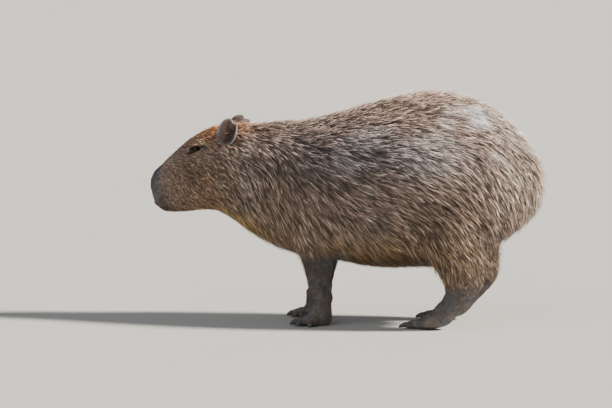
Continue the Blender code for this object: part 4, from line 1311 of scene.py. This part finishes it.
def growCoat():
    roots, normals = rootsOn(skin.data, int(tufts["limit"] * (1.0)), rng, coverAt)
    count = len(roots)
    wide = sizeAt(roots, "halfWidth") * rng.uniform(0.7, 1.25, count) * 1.0
    long = sizeAt(roots, "length") * rng.uniform(0.75, 1.25, count)
    tall = sizeAt(roots, "height")
    clumps = clumpsOf(roots, tufts["clump"], rng)
    # the fringe under the chest and belly hangs free, and tips stand off the back and rump
    x, z = roots[:, 0], roots[:, 2]
    hang = ease(z, 0.270, 0.190) * ease(z, 0.120, 0.160)
    hang = np.maximum(hang, ease(z, 0.345, 0.300) * ease(x, -0.16, -0.22) * ease(x, -0.43, -0.38))
    long = long * (1 + hang * rng.uniform(0.0, coat["fringe"], count))
    loose = coat["loose"][0] + coat["loose"][1] * hang
    stand = np.interp(x, coat["standPlaces"], coat["stand"]) * np.interp(z, (0.13, 0.20), (0.1, 1.0))
    stand = stand + coat["crownStand"] * gauss(roots, tufts["crown"], (0.080, 9, 0.030))
    tree = surfaceOf(skin.data)
    verts = growTufts(tree, roots, normals, long, wide, tall, rng, lieOf, clumps, stand, loose)
    keep = clearOf(verts, roots)
    verts, roots, clumps = verts[keep], roots[keep], (clumps[0][keep], clumps[1])
    verts[:, :, 2] = np.maximum(verts[:, :, 2], 0.0006)
    tones = hairColour(roots) * (1 + 0.10 * waves(roots, 0.030, 8) + 0.14 * waves(roots, 0.009, 9))[:, None]
    plain = np.maximum(noseShare(roots), 0.60 * shankShare(roots))
    # tufts under the painted sheen keep one even colour
    plain = np.maximum(plain, np.minimum(1, 1.2 * paintedSheenShare(roots)))
    return verts, roots, tuftColours(tones, rng, clumps, plain)


verts, roots, colours = growCoat()
print("tufts grown", len(verts))
order = np.argsort(roots[:, 0])
parts = int(math.ceil(len(order) / tufts["most"]))
for k, chosen in enumerate(np.array_split(order, parts), 1):
    piece = tuftPiece(f"coat_{k}", verts[chosen], colours[chosen], unwrap(roots[chosen]))
    piece.data.materials.append(hair)
    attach(piece, "root")
print("coat", len(order), "tufts in", parts, "pieces")

# Short hair on the ears' backs and rims
earHair = {
    "count": 4200,
    "cover": 3.2e5,
    "length": (0.005, 0.010),
    "halfWidth": 0.00035,
    "height": 0.0012,
    "clump": 6,
    "inside": (0.30, 0.22, 0.18),
    # painted rim light: pale hair round the ears' rims
    "rim": (0.36, 0.33, 0.34),
    "back": (0.100, 0.068, 0.052),
}


def growEarHair(name, cup, centre, facing):
    def zones(points):
        rel, out, spread = aroundAxis(points, centre, facing)
        rim = ease(out, -0.0050, -0.0015)
        cupDepth = ears["depth"] * (1 - (spread / ears["halfHeight"]) ** earForm["curve"]) * 0.8
        return rim, ease(out + cupDepth, -0.0005, -0.0030) * (1 - rim)

    def cover(points):
        rim, behind = zones(points)
        return (0.10 + 1.0 * rim + 1.3 * behind) * earHair["cover"]

    def outOfEar(points, normals):
        way = points - centre + np.array((0.014, 0, 0.004)) - facing * 0.006
        way -= normals * (way * normals).sum(1)[:, None]
        return way / np.maximum(np.linalg.norm(way, axis=1), 1e-6)[:, None]

    roots, normals = rootsOn(cup.data, earHair["count"], rng, cover)
    count = len(roots)
    clumps = clumpsOf(roots, earHair["clump"], rng)
    verts = growTufts(surfaceOf(cup.data), roots, normals, rng.uniform(*earHair["length"], count),
                      np.full(count, earHair["halfWidth"]), np.full(count, earHair["height"]), rng, outOfEar,
                      clumps, 0.001, np.full(count, 0.8))
    rim, behind = zones(roots)
    # the rims' hair takes the pale painted rim light
    tone = mixed(np.tile(np.array(earHair["inside"]), (count, 1)), earHair["rim"], rim)
    tone = mixed(tone, earHair["back"], behind)
    flat = 0.3 + 4 * (roots - centre)[:, (0, 2)]
    colours = tuftColours(tone, rng, clumps, 0.75 * (1 - behind))
    return tuftPiece(name, verts, colours, np.clip(flat, 0.02, 0.98))


for word in sides:
    piece = growEarHair(f"earHair_{word}", *earCups[word])
    piece.data.materials.append(hair)
    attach(piece, "root")
print("ear hair")

# Floor and light
bm = bmesh.new()
bmesh.ops.create_grid(bm, x_segments=2, y_segments=2, size=60.0)
floor = newPiece("floor", bm, False)
floorColour = (0.40, 0.397, 0.388)
floor.data.materials.append(plainMaterial("floor", floorColour, 0.85, 3.0, 0.97, 1.03, 0.0002, 0.2))

# a broad sun from the right and a little behind, and a soft one from the front
lamps = {
    "key": ((4.5, 0.5, 3.6), 0.14, 13.0, (1.0, 0.92, 0.82)),
    "fill": ((-1.6, -4.2, 2.8), 1.10, 1.15, (0.95, 0.98, 1.0)),
}
for name, (place, angle, strength, colour) in lamps.items():
    data = bpy.data.lights.new(name, "SUN")
    data.angle = angle
    data.energy = strength
    data.color = colour
    lamp = bpy.data.objects.new(name, data)
    lamp.location = place
    lamp.rotation_euler = (-Vector(place)).to_track_quat("-Z", "Y").to_euler()
    bpy.context.scene.collection.objects.link(lamp)
world = bpy.data.worlds.new("studio")
world.use_nodes = True
world.node_tree.nodes["Background"].inputs["Color"].default_value = (0.86, 0.88, 0.90, 1)
world.node_tree.nodes["Background"].inputs["Strength"].default_value = 0.36
bpy.context.scene.world = world

view = {
    "azimuth": 13.0,
    "elevation": 6.0,
    "distance": 13.8,
    "lens": 300.7,
    "aim": (-0.1126, 0.0087, 0.3155),
}
azimuth, elevation = math.radians(view["azimuth"]), math.radians(view["elevation"])
level = math.cos(elevation)
back = Vector((math.sin(azimuth) * level, -math.cos(azimuth) * level, math.sin(elevation)))
cameraData = bpy.data.cameras.new("camera")
cameraData.lens = view["lens"]
cameraData.sensor_width = 36.0
cameraData.clip_end = 100.0
camera = bpy.data.objects.new("camera", cameraData)
camera.location = Vector(view["aim"]) + back * view["distance"]
camera.rotation_euler = (-back).to_track_quat("-Z", "Y").to_euler()
bpy.context.scene.collection.objects.link(camera)
bpy.context.scene.camera = camera
